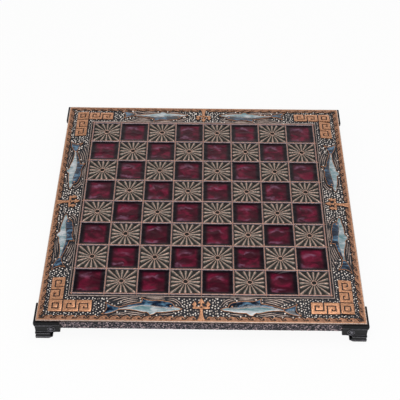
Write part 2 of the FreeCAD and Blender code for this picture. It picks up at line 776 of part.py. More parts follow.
def key_faces():
    """The corner squares of one side and its two arms."""
    low, width = value("Sizes.key_offset"), value("Sizes.key_width")
    line, unit = value("Sizes.key_line"), value("Sizes.key_unit")
    bar, hook, tail = value("Sizes.key_bar"), value("Sizes.key_hook"), value("Sizes.key_tail")
    top, middle = low + width, low + width / 2
    centre = board_half - middle
    ring, island = width / 2 - value("Sizes.key_ring"), width / 2 - value("Sizes.key_island")
    faces = []
    for u in (-centre, centre):
        plate = rectangle_face(u - width / 2, u + width / 2, low, top)
        hollow = rectangle_face(u - ring, u + ring, middle - ring, middle + ring)
        faces.append(plate.cut(hollow))
        faces.append(rectangle_face(u - island, u + island, middle - island, middle + island))

    length, key_end = 2 * unit, value(KEY_END)
    for start in (-key_end - length, key_end):
        arm = rectangle_face(start, start + length, low, top)
        left, right = start + bar, start + unit - value("Sizes.key_edge")
        groove = [
            (right, top),
            (right, low + bar),
            (left, low + bar),
            (left, top - bar),
            (left + hook, top - bar),
            (left + hook, top - bar - tail),
        ]
        turned = [(2 * start + length - u, low + top - v) for u, v in groove]
        faces.append(arm.cut(line_path(groove, line) + line_path(turned, line)))
    return faces


# Trident at the middle of each side, standing on the edge band.
def trident_faces():
    """The trident, drawn as one half that is mirrored, with a round hole at its heart."""
    stem = value("Sizes.trident_stem") / 2
    half = outline(
        (0, 2.5),
        (stem * 2.6, 2.5),
        (stem * 1.3, 9.0, stem, 15.5),
        (stem, 17.4),
        (8.4, 17.4),
        (9.6, 18.6, 8.4, 20.0),
        (8.3, 21.4),
        (10.2, 22.6),
        (7.2, 27.4),
        (5.0, 22.6),
        (6.0, 21.4),
        (6.0, 20.0),
        (2.4, 20.0),
        (1.0, 22.0),
        (1.0, 25.0),
        (3.8, 24.4),
        (0, 31.5),
        stretch=(rise, rise),
    )
    heart = disc_face(0, 19.4 * rise, value("Sizes.trident_hole_radius"))
    return [half.fuse(mirrored(half)).removeSplitter().cut(heart)]


# Dolphin: a leaping dolphin in plain outline, its snout towards the middle of the side.
def dolphin_outline():
    """The whole outline of the right-hand dolphin."""
    return outline(
        (21.0, 16.6),
        (25.0, 18.4, 29.5, 19.3),
        (31.8, 23.8, 38.0, 26.0),
        (46.0, 27.6, 54.0, 27.2),
        (60.5, 28.4, 66.5, 31.4),
        (65.2, 28.2, 66.0, 24.8),
        (78.0, 22.2, 90.0, 18.4),
        (98.3, 20.4, 105.8, 24.8),
        (103.9, 20.8, 103.6, 16.8),
        (105.4, 12.8, 109.2, 9.4),
        (99.4, 10.8, 90.5, 15.2),
        (79.0, 15.4, 67.0, 13.0),
        (63.5, 12.2, 60.5, 12.4),
        (58.0, 11.0, 56.6, 8.8),
        (52.9, 9.4, 49.5, 12.2),
        (39.0, 12.6, 29.5, 14.4),
        (25.2, 14.8, 21.0, 16.6),
        stretch=(run, rise),
    )


def dolphin_faces():
    """The raised outline, the blue cells and the pale cell of the right-hand dolphin."""
    ridge = value("Sizes.dolphin_ridge")
    body = dolphin_outline()
    room = body.BoundBox
    inner = max(body.makeOffset2D(-ridge).Faces, key=lambda face: face.Area)

    # The flank line comes down behind the beak and parts the blue back from the pale beak
    # and belly, and the tail stock is closed by a ridge across it.
    flank = (
        (29.0, 20.8),
        (30.6, 18.0, 34.0, 17.6),
        (42.0, 18.2, 50.0, 19.4),
        (61.0, 20.6, 72.0, 19.8),
        (81.0, 18.2, 92.5, 16.8),
    )
    stock = 90.6 * run
    back = outline(*flank, (92.5, 40.0), (29.0, 40.0), stretch=(run, rise))
    belly = outline(*flank, (92.5, 5.0), (18.0, 5.0), (18.0, 20.8), stretch=(run, rise))
    ahead = rectangle_face(room.XMin, stock - ridge / 2, room.YMin, room.YMax)
    behind = rectangle_face(stock + ridge / 2, room.XMax, room.YMin, room.YMax)
    eye = disc_face(33.8 * run, 20.4 * rise, value("Sizes.eye_radius"))

    blue = inner.common(back.makeOffset2D(-ridge / 2)).common(ahead).cut(eye)
    pale = inner.common(belly.makeOffset2D(-ridge / 2)).common(ahead)
    cells = blue.Faces + inner.common(behind).Faces
    raised_part = body.cut(cells + pale.Faces)
    return raised_part.Faces, cells, pale.Faces


def water_faces():
    """Flowing water lines above and below the right-hand dolphin."""
    width = value("Sizes.water_line_width")
    arcs = (
        ((23.6, 20.6), (28.8, 26.4), (37.2, 28.7)),
        ((21.4, 22.0), (27.0, 28.2), (36.0, 30.9)),
        ((40.2, 29.5), (48.0, 29.7), (57.4, 29.4)),
        ((41.0, 31.3), (50.0, 31.4), (61.0, 31.2)),
        ((69.6, 27.0), (78.0, 25.2), (87.0, 21.8)),
        ((69.4, 29.1), (79.0, 27.4), (90.0, 23.2)),
        ((70.0, 31.2), (81.0, 29.5), (93.0, 24.8)),
        ((80.4, 31.4), (89.0, 30.0), (98.0, 26.4)),
        ((92.6, 31.3), (98.6, 30.2), (104.0, 27.8)),
        ((31.0, 11.2), (38.0, 10.0), (46.0, 10.1)),
        ((61.5, 10.1), (71.0, 11.4), (82.0, 13.0)),
        ((64.0, 8.4), (76.0, 9.6), (89.0, 12.2)),
        ((82.0, 8.8), (89.0, 9.4), (97.0, 9.3)),
    )
    return [arc_band(*[(u * run, v * rise) for u, v in arc], width) for arc in arcs]


raised_faces, blue_faces, pale_faces = dolphin_faces()


def on_slope(shape):
    """Moves a flat piece of ornament on to the sloping ground of the front side."""
    slope = math.degrees(math.atan(value(SLOPE)))
    shape = shape.rotated(Vector(0, 0, 0), Vector(1, 0, 0), slope)
    return shape.translated(Vector(0, -board_half, value(RIM_Z) + value("Sizes.border_wall")))


def raised(face, low, high):
    """A flat outline raised to a solid on the slope."""
    return on_slope(face.translated(Vector(0, 0, low)).extrude(Vector(0, 0, high - low)))


def side_section():
    """The border's section across the front side, with the ridge along its inner edge."""
    rim, wall = value(RIM_Z), value("Sizes.border_wall")
    slope, foot_width = value(SLOPE), value("Sizes.inner_ridge_width")
    step = (foot_width - value("Sizes.inner_ridge_crest")) / 2
    inner_top = rim + wall + (board_half - border_inner) * slope
    crest = inner_top + value("Sizes.inner_ridge_height")
    profile = (
        (board_half, rim),
        (board_half, rim + wall),
        (border_inner + foot_width, inner_top - foot_width * slope),
        (border_inner + foot_width - step, crest),
        (border_inner + step, crest),
        (border_inner, inner_top),
        (border_inner, casting_z),
    )
    return polygon([(-board_half, -out, z) for out, z in profile])


def border_shape():
    """The border casting: four equal mitred sides."""
    right_half = raised_faces + water_faces()
    ornament = wave_faces() + key_faces() + trident_faces() + right_half
    ornament += [mirrored(face) for face in right_half]
    relief = [raised(face, -relief_root, relief_height) for face in ornament]
    side = side_section().extrude(Vector(2 * board_half, 0, 0)).multiFuse(relief)
    far = board_half
    wedge = polygon([(0, 0, 0), (-far, -far, 0), (far, -far, 0)]).extrude(Vector(0, 0, far))
    side = side.common(wedge)
    others = [side.rotated(Vector(0, 0, 0), Vector(0, 0, 1), 90 * turn) for turn in (1, 2, 3)]
    return side.multiFuse(others)


add_shape("border_casting", border_shape())

# Dolphin enamel: blue in the backs and flukes and pale in the bellies, one piece of each
# colour for each side of the board.
enamel_top = value("Sizes.border_enamel_thickness")
for turn, side_name in enumerate(("front", "right", "back", "left")):
    for colour, faces in (("blue", blue_faces), ("pale", pale_faces)):
        cells = [raised(face, 0, enamel_top) for face in faces]
        cells += [raised(mirrored(face), 0, enamel_top) for face in faces]
        fills = Part.makeCompound(cells).rotated(Vector(0, 0, 0), Vector(0, 0, 1), 90 * turn)
        add_shape(f"dolphin_{colour}_{side_name}", fills)

# Check every object, then write each piece to its own file.
doc.recompute()
for item in doc.Objects:
    if "Invalid" in item.State or "Error" in item.State:
        raise ValueError(f"{item.Label} is {item.State}")
    if item.TypeId == "PartDesign::Pocket" and item.Shape.Volume >= item.BaseFeature.Shape.Volume:
        raise ValueError(f"{item.Label} cuts nothing")
pieces = [
    item
    for item in doc.Objects
    if item.TypeId in ("PartDesign::Body", "Part::Box", "Part::Feature")
]
for piece in pieces:
    if piece.Shape.isNull() or not piece.Shape.isValid() or not piece.Shape.Solids:
        raise ValueError(f"{piece.Label} has no valid solid")
os.makedirs("parts", exist_ok=True)
for piece in pieces:
    piece.Shape.exportStep(f"parts/{piece.Label}.step")
print(f"{len(pieces)} pieces, {sum(len(piece.Shape.Solids) for piece in pieces)} solids")
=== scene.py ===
import math

import bpy
import numpy as np
from mathutils import Matrix, Vector, geometry


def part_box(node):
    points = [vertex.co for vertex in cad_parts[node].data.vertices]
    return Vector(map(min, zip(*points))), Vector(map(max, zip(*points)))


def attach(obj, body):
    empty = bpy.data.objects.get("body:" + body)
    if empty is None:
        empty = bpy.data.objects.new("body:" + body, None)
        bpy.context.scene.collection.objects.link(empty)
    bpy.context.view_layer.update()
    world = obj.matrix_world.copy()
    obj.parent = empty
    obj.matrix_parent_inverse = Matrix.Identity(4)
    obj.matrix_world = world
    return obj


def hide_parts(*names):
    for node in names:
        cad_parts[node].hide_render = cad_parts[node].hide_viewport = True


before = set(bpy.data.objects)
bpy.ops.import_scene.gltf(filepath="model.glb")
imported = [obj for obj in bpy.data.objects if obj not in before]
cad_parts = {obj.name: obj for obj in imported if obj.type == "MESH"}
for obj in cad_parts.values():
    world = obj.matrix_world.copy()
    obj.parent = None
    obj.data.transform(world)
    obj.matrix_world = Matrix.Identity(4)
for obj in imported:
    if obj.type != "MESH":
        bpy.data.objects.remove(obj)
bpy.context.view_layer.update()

# The set: a white floor that runs out to a white horizon, lit as a table-top light tent is, by
# a broad soft lamp in front and another overhead. The camera looks down at the board from the
# front. Sizes in this file are millimetres until a mesh is made, but metres for floor and lamps.
MM = 0.001
PICTURE_SIDE = 400
FOCAL_PIXELS = 949
SENSOR = 36
FIELD_TOP = 34.0
CAMERA_SHIFT = Vector((3.1, -1.5, -1151.1))
CAMERA_TURNS = (("Z", -0.44), ("X", -44.68), ("Z", -0.27))
FLOOR_REACH = 30.0
FLOOR_GLOW = 0.93
TENT_LIGHT = 0.6
TENT_SHADE_START, TENT_SHADE_FULL = 0.54, 0.8


def linear(code):
    """An sRGB hex colour as the linear colour that a shader takes."""
    parts = [int(code[start:start + 2], 16) / 255 for start in (1, 3, 5)]
    return [p / 12.92 if p <= 0.04045 else ((p + 0.055) / 1.055) ** 2.4 for p in parts] + [1]


def node(tree, kind, inputs=(), **settings):
    """Adds a node with its settings, and fills or links its inputs: in order, or by name or number."""
    added = tree.nodes.new(kind)
    for name, setting in settings.items():
        setattr(added, name, setting)
    for socket, source in inputs.items() if isinstance(inputs, dict) else enumerate(inputs):
        if isinstance(source, bpy.types.Node):
            source = source.outputs[0]
        if isinstance(source, bpy.types.NodeSocket):
            tree.links.new(source, added.inputs[socket])
        else:
            added.inputs[socket].default_value = source
    return added


def seen_directly(tree):
    """1 for what the camera sees, alone or in a reflection or through glass."""
    path = node(tree, "ShaderNodeLightPath")
    camera, glossy = path.outputs["Is Camera Ray"], path.outputs["Is Glossy Ray"]
    either = node(tree, "ShaderNodeMath", [camera, glossy], operation="MAXIMUM")
    through = path.outputs["Is Transmission Ray"]
    return node(tree, "ShaderNodeMath", [either, through], operation="MAXIMUM")


def surface(name):
    """A new material, and the tree that its nodes go in."""
    made = bpy.data.materials.new(name)
    made.use_nodes = True
    made.node_tree.nodes.clear()
    return made, made.node_tree


scene = bpy.context.scene
scene.view_settings.view_transform = "Standard"

# The tent is white up its sides and grey overhead. It lights less strongly than it is seen.
world = bpy.data.worlds.new("light_tent")
world.use_nodes = True
scene.world = world
tent = world.node_tree
tent.nodes.clear()
direction = node(tent, "ShaderNodeSeparateXYZ", [node(tent, "ShaderNodeTexCoord")])
heights = direction.outputs[2]
overhead = node(tent, "ShaderNodeMapRange", [heights, TENT_SHADE_START, TENT_SHADE_FULL])
tent_shades = {0: overhead, 6: linear("#ffffff"), 7: linear("#3c3c40")}
tent_colour = node(tent, "ShaderNodeMix", tent_shades, data_type="RGBA")
tent_strength = node(tent, "ShaderNodeMapRange", {0: seen_directly(tent), 3: TENT_LIGHT, 4: 1})
background = node(tent, "ShaderNodeBackground", [tent_colour.outputs[2], tent_strength])
node(tent, "ShaderNodeOutputWorld", [background])

# White paper floor: matt, so it keeps the board's soft shadow. From below it's see-through,
# so that the underside can be looked at.
paper, sheet = surface("white_paper")
matt = node(sheet, "ShaderNodeBsdfDiffuse", [linear("#f6f6f5")])
glow = node(sheet, "ShaderNodeEmission", [linear("#ffffff"), 1])
seen = seen_directly(sheet)
glow_share = node(sheet, "ShaderNodeMath", [seen, FLOOR_GLOW], operation="MULTIPLY")
laid_paper = node(sheet, "ShaderNodeMixShader", [glow_share, matt, glow])
from_below = node(sheet, "ShaderNodeNewGeometry").outputs["Backfacing"]
see_through = node(sheet, "ShaderNodeBsdfTransparent")
open_below = node(sheet, "ShaderNodeMixShader", [from_below, laid_paper, see_through])
node(sheet, "ShaderNodeOutputMaterial", [open_below])

floor_mesh = bpy.data.meshes.new("floor")
reach = FLOOR_REACH
corners = [(-reach, -reach, 0), (reach, -reach, 0), (reach, reach, 0), (-reach, reach, 0)]
floor_mesh.from_pydata(corners, [], [(0, 1, 2, 3)])
floor_mesh.materials.append(paper)
floor = bpy.data.objects.new("floor", floor_mesh)
scene.collection.objects.link(floor)


def soft_lamp(name, place, width, depth, watts):
    """A rectangular soft lamp at a place in metres, facing the board."""
    lamp = bpy.data.lights.new(name, "AREA")
    lamp.shape = "RECTANGLE"
    lamp.size, lamp.size_y = width, depth
    lamp.energy = watts
    holder = bpy.data.objects.new(name, lamp)
    holder.location = place
    holder.rotation_euler = (-Vector(place)).to_track_quat("-Z", "Y").to_euler()
    scene.collection.objects.link(holder)


soft_lamp("front_lamp", place=(-0.3, -1.15, 0.8), width=1.8, depth=1.0, watts=7.5)
soft_lamp("top_lamp", place=(0.05, -0.05, 1.4), width=1.4, depth=0.6, watts=10.5)

to_camera = Matrix.Identity(3)
for axis, degrees in CAMERA_TURNS:
    to_camera = to_camera @ Matrix.Rotation(math.radians(degrees), 3, axis)
eye_place = -(to_camera.transposed() @ CAMERA_SHIFT) + Vector((0, 0, FIELD_TOP))
camera = bpy.data.objects.new("camera", bpy.data.cameras.new("camera"))
camera.data.sensor_width = SENSOR
camera.data.lens = SENSOR * FOCAL_PIXELS / PICTURE_SIDE
camera.data.clip_start, camera.data.clip_end = 0.05, 100
camera.matrix_world = Matrix.Translation(eye_place * MM) @ to_camera.transposed().to_4x4()
scene.collection.objects.link(camera)
scene.camera = camera


# Wooden core and its backing panel: beech board, sawn square and stained black, a colour that
# also stands as painted shade in the groove round the playing field, with a thin black
# fibreboard glued and screwed under it.
def noise(tree, size, detail=2.0, stretch=(1, 1, 1), distortion=0.0):
    """Noise on the piece's own coordinates, with lumps of about a size in millimetres."""
    place = node(tree, "ShaderNodeTexCoord").outputs["Object"]
    density = [1 / (side * MM * size) for side in stretch]
    scaled = node(tree, "ShaderNodeMapping", {0: place, 3: density})
    lumps = {"Vector": scaled, "Scale": 1, "Detail": detail, "Distortion": distortion}
    return node(tree, "ShaderNodeTexNoise", lumps)


def graded(tree, value, *stops):
    """A colour that runs through stops, each a place from 0 to 1 and a hex colour."""
    ramp = node(tree, "ShaderNodeValToRGB", [value])
    elements = ramp.color_ramp.elements
    while len(elements) < len(stops):
        elements.new(0.5)
    for element, (place, code) in zip(elements, stops):
        element.position = place
        element.color = linear(code)
    return ramp


def coated(tree, colour, settings, bumps=None, depth=0.0):
    """Ends a material with its colour, its settings and bumps of a depth in millimetres."""
    if bumps is not None:
        dents = {"Height": bumps, "Distance": depth * MM, "Strength": 1}
        settings = {**settings, "Normal": node(tree, "ShaderNodeBump", dents)}
    shader = node(tree, "ShaderNodeBsdfPrincipled", {"Base Color": colour, **settings})
    node(tree, "ShaderNodeOutputMaterial", [shader])


def plain_finish(name, nodes, lumps, depth, settings, *stops):
    """Gives CAD pieces, which keep their shapes, a finish that one noise colours and dents."""
    made, tree = surface(name)
    pattern = noise(tree, *lumps)
    coated(tree, graded(tree, pattern, *stops), settings, pattern, depth)
    for cad_name in nodes:
        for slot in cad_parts[cad_name].material_slots:
            slot.material = made


# Ebonised beech: a fine straight grain shows through the stain as faint brown streaks.
# Painted shade: the black stain also stands for the shade in the groove round the playing field.
plain_finish(
    "ebonised_beech_groove_shade", ("core_board",), (0.8, 4, (30, 1, 1), 0.4), 0.05, {"Roughness": 0.55},
    (0.35, "#14110f"), (0.7, "#2b221c"),
)

# Black fibreboard: pressed fibres give it a matt, slightly mottled face.
plain_finish(
    "black_fibreboard", ("backing_panel",), (1.4, 5), 0.04, {"Roughness": 0.75},
    (0.3, "#191817"), (0.75, "#2c2a28"),
)

# Zinc-plated steel screws: machined and plated, so bright with faint turning marks.
plain_finish(
    "zinc_plated_steel", ("foot_screws", "panel_screws"), (0.4, 2, (1, 1, 6)), 0.02,
    {"Metallic": 1.0, "Roughness": 0.32}, (0.3, "#8f9296"), (0.7, "#b9bcbf"),
)

# Pressed wool felt: matt and fuzzy, with a mottle of a few millimetres.
plain_finish(
    "black_felt", ("foot_pads",), (0.7, 6), 0.2,
    {"Roughness": 0.95, "Sheen Weight": 0.5, "Sheen Roughness": 0.5},
    (0.3, "#1a1a1b"), (0.7, "#39393a"),
)


# Playing field: one zinc casting, copper plated and then antiqued: the plate is blackened
# all over and rubbed back, so hollows stay dark, flanks turn pewter grey and crests shine
# as bare copper. Ridges part the squares and a sunburst stands in each metal one.
def relief_drifting(tree, size, drift):
    """The relief, 0 in hollows and 1 on crests, drifting in lumps of a size."""
    relief = node(tree, "ShaderNodeAttribute", attribute_name="relief").outputs["Fac"]
    shift = node(tree, "ShaderNodeMapRange", [noise(tree, size, 4), 0.25, 0.75, -drift, drift])
    return node(tree, "ShaderNodeMath", [relief, shift], operation="ADD", use_clamp=True)


def antiqued_copper(name, hollow, low, flank, crest, specks=0.35):
    """Copper finish that follows the relief, with a share of brown specks."""
    made, tree = surface(name)
    relief_tone = relief_drifting(tree, 3.0, 0.16)
    colour = graded(tree, relief_tone, (0.08, hollow), (0.34, low), (0.6, flank), (0.92, crest))
    speckles = node(tree, "ShaderNodeMapRange", [noise(tree, 1.7, 3), 0.47, 0.66, 0.0, specks])
    stain = {0: speckles, 6: colour, 7: linear("#8a5a44")}
    stained = node(tree, "ShaderNodeMix", stain, data_type="RGBA", blend_type="MULTIPLY")
    metal = node(tree, "ShaderNodeMapRange", {0: relief_tone, 3: 0.35, 4: 0.7})
    polish = node(tree, "ShaderNodeMapRange", {0: relief_tone, 3: 0.62, 4: 0.4})
    settings = {"Metallic": metal, "Roughness": polish}
    coated(tree, stained.outputs[2], settings, noise(tree, 0.8, 3), 0.06)
    return made


def piece(name, points, faces, finish, relief=None):
    """A mesh object from points in millimetres, with its finish and its relief."""
    mesh = bpy.data.meshes.new(name)
    mesh.from_pydata([tuple(co * MM for co in point) for point in points], [], faces)
    mesh.materials.append(finish)
    if relief is not None:
        layer = mesh.attributes.new("relief", "FLOAT", "POINT")
        layer.data.foreach_set("value", relief)
    made = bpy.data.objects.new(name, mesh)
    scene.collection.objects.link(made)
    return made


SOFT_EDGE = 42


def fit(part, slot, *nodes):
    """Rounds a piece's soft edges in the light and lets it stand for its CAD nodes."""
    part.data.shade_smooth()
    part.data.set_sharp_from_angle(angle=math.radians(SOFT_EDGE))
    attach(part, "root")
    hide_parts(*nodes)


def swept(rings, closed=False):
    """Faces between rings of as many points each, capped where the sweep isn't closed."""
    count, size = len(rings), len(rings[0])
    points = [point for ring in rings for point in ring]
    faces = []
    for here in range(count if closed else count - 1):
        ahead = (here + 1) % count
        for side in range(size):
            beside = (side + 1) % size
            corners = ((here, side), (here, beside), (ahead, beside), (ahead, side))
            faces.append(tuple(ring * size + point for ring, point in corners))
    if not closed:
        faces.append(tuple(reversed(range(size))))
        faces.append(tuple(range((count - 1) * size, count * size)))
    return points, faces


def grown(name, tree, **inputs):
    """Runs a Geometry Nodes tree and keeps its result as a plain mesh object."""
    grower = bpy.data.objects.new(name, bpy.data.meshes.new(name))
    scene.collection.objects.link(grower)
    modifier = grower.modifiers.new(name, "NODES")
    modifier.node_group = tree
    for socket in tree.interface.items_tree:
        if socket.in_out == "INPUT" and socket.name in inputs:
            modifier[socket.identifier] = inputs[socket.name]
    depsgraph = bpy.context.evaluated_depsgraph_get()
    evaluated = grower.evaluated_get(depsgraph)
    mesh = bpy.data.meshes.new_from_object(
        evaluated, preserve_all_data_layers=True, depsgraph=depsgraph
    )
    grower.modifiers.clear()
    grower.data = mesh
    return grower


def new_tree(name, **inputs):
    """A Geometry Nodes tree with named inputs, and the node that hands them out."""
    tree = bpy.data.node_groups.new(name, "GeometryNodeTree")
    tree.interface.new_socket("Geometry", in_out="OUTPUT", socket_type="NodeSocketGeometry")
    for label, kind in inputs.items():
        tree.interface.new_socket(label, in_out="INPUT", socket_type=f"NodeSocket{kind}")
    return tree, node(tree, "NodeGroupInput").outputs


def grow_out(tree, geometry, finish):
    """Ends a tree: what it holds, copies too, becomes one mesh with a finish."""
    real = node(tree, "GeometryNodeRealizeInstances", [geometry])
    dressed = node(tree, "GeometryNodeSetMaterial", {0: real, 2: finish})
    node(tree, "NodeGroupOutput", [dressed])


def copy_out(tree, given, points, placing, turn=None):
    """Ends a tree: copies of its thing on its points, turned where asked, in its finish."""
    if turn is not None:
        about = node(tree, "ShaderNodeCombineXYZ", {2: turn})
        placing = {**placing, 5: node(tree, "FunctionNodeEulerToRotation", [about])}
    thing = node(tree, "GeometryNodeObjectInfo", [given["thing"]]).outputs["Geometry"]
    copies = node(tree, "GeometryNodeInstanceOnPoints", {0: points, 2: thing, **placing})
    grow_out(tree, copies, given["finish"])


# Copies of a thing turned about the middle, stretched out to a square where asked.
turned_copies, given = new_tree(
    "turned_copies", thing="Object", count="Int", square="Float", finish="Material"
)
around = node(turned_copies, "GeometryNodePoints", [given["count"]])
step = node(turned_copies, "ShaderNodeMath", [math.tau, given["count"]], operation="DIVIDE")
index = node(turned_copies, "GeometryNodeInputIndex")
angle = node(turned_copies, "ShaderNodeMath", [index, step], operation="MULTIPLY")
ways = []
for operation in ("COSINE", "SINE"):
    way = node(turned_copies, "ShaderNodeMath", [angle], operation=operation)
    ways.append(node(turned_copies, "ShaderNodeMath", [way], operation="ABSOLUTE"))
nearest = node(turned_copies, "ShaderNodeMath", ways, operation="MAXIMUM")
to_square = node(turned_copies, "ShaderNodeMath", [1.0, nearest], operation="DIVIDE")
stretch = node(turned_copies, "ShaderNodeMix", {0: given["square"], 2: 1.0, 3: to_square})
scale = node(turned_copies, "ShaderNodeCombineXYZ", [stretch, 1.0, 1.0])
copy_out(turned_copies, given, around, {6: scale}, angle)

# Copies of a thing on the points of a grid, or on every second square of a board.
set_out, given = new_tree(
    "set_out",
    thing="Object",
    columns="Int",
    rows="Int",
    pitch="Float",
    turn="Float",
    chequered="Bool",
    finish="Material",
)
lengths = []
for number in ("columns", "rows"):
    gaps = node(set_out, "ShaderNodeMath", [given[number], 1.0], operation="SUBTRACT")
    lengths.append(node(set_out, "ShaderNodeMath", [gaps, given["pitch"]], operation="MULTIPLY"))
lattice = node(set_out, "GeometryNodeMeshGrid", [*lengths, given["columns"], given["rows"]])
index = node(set_out, "GeometryNodeInputIndex")
column = node(set_out, "ShaderNodeMath", [index, given["rows"]], operation="DIVIDE")
column = node(set_out, "ShaderNodeMath", [column], operation="FLOOR")
both = node(set_out, "ShaderNodeMath", [index, column], operation="ADD")
odd = node(set_out, "ShaderNodeMath", [both, 2.0], operation="MODULO")
every = node(set_out, "FunctionNodeBooleanMath", [given["chequered"]], operation="NOT")
chosen = node(set_out, "FunctionNodeBooleanMath", [odd, every], operation="OR")
copy_out(set_out, given, lattice, {1: chosen}, given["turn"])

SQUARES = 8
RIDGE_BASE = 1.8
GROUND_WALL = 1.3
POCKET_WALL = 0.7
field_lo, field_hi = (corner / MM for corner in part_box("field_casting"))
plate_half = field_hi.x
pitch = (2 * plate_half - RIDGE_BASE) / SQUARES
square_half = (pitch - RIDGE_BASE) / 2
ground = field_lo.z + GROUND_WALL
ridge_height = field_hi.z - ground

field_copper = antiqued_copper(
    "antiqued_copper_sunbursts", "#211e1a", "#4a453d", "#868078", "#e3b5a2", 0.15
)
ridge_copper = antiqued_copper(
    "antiqued_copper_ridges", "#1a1718", "#433b41", "#857c83", "#bd8a73", 0.15
)


def stepped_plate(lines, level, bottom):
    """A closed plate whose cells between grid lines stand at their own levels."""
    points, faces = [], []

    def corner(x, y, z):
        points.append((x, y, z))
        return len(points) - 1

    count = len(lines) - 1
    for i in range(count):
        for j in range(count):
            x0, x1, y0, y1 = lines[i], lines[i + 1], lines[j], lines[j + 1]
            square = ((x0, y0), (x1, y0), (x1, y1), (x0, y1))
            top = level(i, j)
            for z, way in ((top, 1), (bottom, -1)):
                faces.append(tuple([corner(x, y, z) for x, y in square][::way]))
            for side, dx, dy in ((3, -1, 0), (1, 1, 0), (0, 0, -1), (2, 0, 1)):
                inside = 0 <= i + dx < count and 0 <= j + dy < count
                beside = level(i + dx, j + dy) if inside else bottom
                if beside < top:
                    a, b = square[side], square[(side + 1) % 4]
                    wall = ((a, beside), (b, beside), (b, top), (a, top))
                    faces.append(tuple(corner(*end, z) for end, z in wall))
    return points, faces


grid_lines = []
for line in range(SQUARES + 1):
    middle = (line - SQUARES / 2) * pitch
    grid_lines += [middle - RIDGE_BASE / 2, middle + RIDGE_BASE / 2]


def field_level(i, j):
    """Height of a cell of the plate: enamel pockets are sunk where both steps are squares."""
    pocket = i % 2 and j % 2 and ((i + j) // 2 - 1) % 2 == 0
    return field_lo.z + POCKET_WALL if pocket else ground


points, faces = stepped_plate(grid_lines, field_level, field_lo.z)
field_plate = piece("field_plate", points, faces, field_copper, [0.0] * len(points))


def both_flanks(*flank):
    """A section's flank and then its mirror image: each point a side, a rise and a shade."""
    return flank + tuple((-side, rise, shade) for side, rise, shade in reversed(flank) if side)


# A grid ridge, drawn once and set out nine times each way. Its crest wanders a little,
# as a hand-rubbed casting's does.
CREST_STEP = 4.0
CREST_WANDER = 0.06
step = 2 * plate_half / round(2 * plate_half / CREST_STEP)
stations = np.arange(-plate_half, plate_half + CREST_STEP / 2, step)
ridge_section = both_flanks(
    (0.62, 0, 0.2), (0.56, 0.4, 0.46), (0.38, 0.86, 0.58), (0.2, 0.98, 0.8), (0, 1, 0.98)
)
wander = np.random.default_rng(3).uniform(-CREST_WANDER, CREST_WANDER, len(stations))
rings, shades = [], []
for x, drift in zip(stations, wander):
    tall = ridge_height - abs(drift)
    ring = []
    for side, rise, shade in ridge_section:
        ring.append((x, side * RIDGE_BASE + drift * rise, ground + rise * tall))
        shades.append(shade)
    rings.append(ring)
ridge = piece("ridge", *swept(rings), ridge_copper, shades)

# The ridges cross in a small four-pointed boss.
BOSS_REACH = 2.2
BOSS_WAIST = 0.85
BOSS_FALL = 0.35
BOSS_FLARE = 1.02
boss_points = [(0, 0, field_hi.z)]
for corner in range(8):
    angle = math.tau * corner / 8
    out = BOSS_WAIST if corner % 2 else BOSS_REACH
    boss_points.append((out * math.cos(angle), out * math.sin(angle), field_hi.z - BOSS_FALL))
for x, y, _ in boss_points[1:]:
    boss_points.append((x * BOSS_FLARE, y * BOSS_FLARE, ground))
boss_faces = [(0, 1 + k, 1 + (k + 1) % 8) for k in range(8)]
boss_faces += [(1 + k, 9 + k, 9 + (k + 1) % 8, 1 + (k + 1) % 8) for k in range(8)]
boss_faces.append(tuple(range(16, 8, -1)))
boss = piece("boss", boss_points, boss_faces, ridge_copper, [1.0] * 9 + [0.6] * 8)

# One sunburst ray, lying along X: it widens and rises outwards to a rounded end.
RAYS = 16
RAY_START = 3.0
RAY_END = square_half - 0.6
RAY_ROOT, RAY_WIDTH = 0.7, 2.7
RAY_ROOT_HEIGHT, RAY_HEIGHT = 0.9, 1.45
ray_section = both_flanks(
    (1, 0, 0.08), (0.8, 0.26, 0.32), (0.42, 0.7, 0.52), (0.16, 0.96, 0.68), (0, 1, 1.0)
)
ray_stations = (
    (0, 1, 1), (0.3, 1, 1), (0.6, 1, 1), (0.86, 1, 1), (0.93, 0.9, 0.9), (0.98, 0.66, 0.62), (1, 0.3, 0.2)
)
rings, shades = [], []
for share, full, tall in ray_stations:
    x = RAY_START + share * (RAY_END - RAY_START)
    half = (RAY_ROOT + share * (RAY_WIDTH - RAY_ROOT)) * full
    height = (RAY_ROOT_HEIGHT + share * (RAY_HEIGHT - RAY_ROOT_HEIGHT)) * tall
    rings.append([(x, side * half, rise * height) for side, rise, _ in ray_section])
    shades += [shade for _, _, shade in ray_section]
ray = piece("ray", *swept(rings), field_copper, shades)

# The hub: a turned ring round a dark hole.
HUB_STEPS = 24
hub_section = (
    (2.4, 0.0, 0.0), (2.5, 0.8, 0.2), (2.75, 1.2, 1.0), (3.15, 1.2, 1.0), (3.45, 0.8, 0.5), (3.6, 0.0, 0.1)
)
rings, shades = [], []
for step in range(HUB_STEPS):
    angle = -math.tau * step / HUB_STEPS
    rings.append([(r * math.cos(angle), r * math.sin(angle), z) for r, z, _ in hub_section])
    shades += [shade for _, _, shade in hub_section]
hub = piece("hub", *swept(rings, closed=True), field_copper, shades)


def gathered(parts):
    """Points and faces of several mesh objects, as one mesh has them."""
    points, faces = [], []
    for part in parts:
        base = len(points)
        points += [tuple(vertex.co / MM) for vertex in part.data.vertices]
        faces += [tuple(base + index for index in face.vertices) for face in part.data.polygons]
    return points, faces


def joined(name, *parts):
    """Joins mesh objects of one finish into a new piece."""
    points, faces = gathered(parts)
    shades = [item.value for part in parts for item in part.data.attributes["relief"].data]
    finish = parts[0].data.materials[0]
    for part in parts:
        bpy.data.objects.remove(part)
    return piece(name, points, faces, finish, shades)


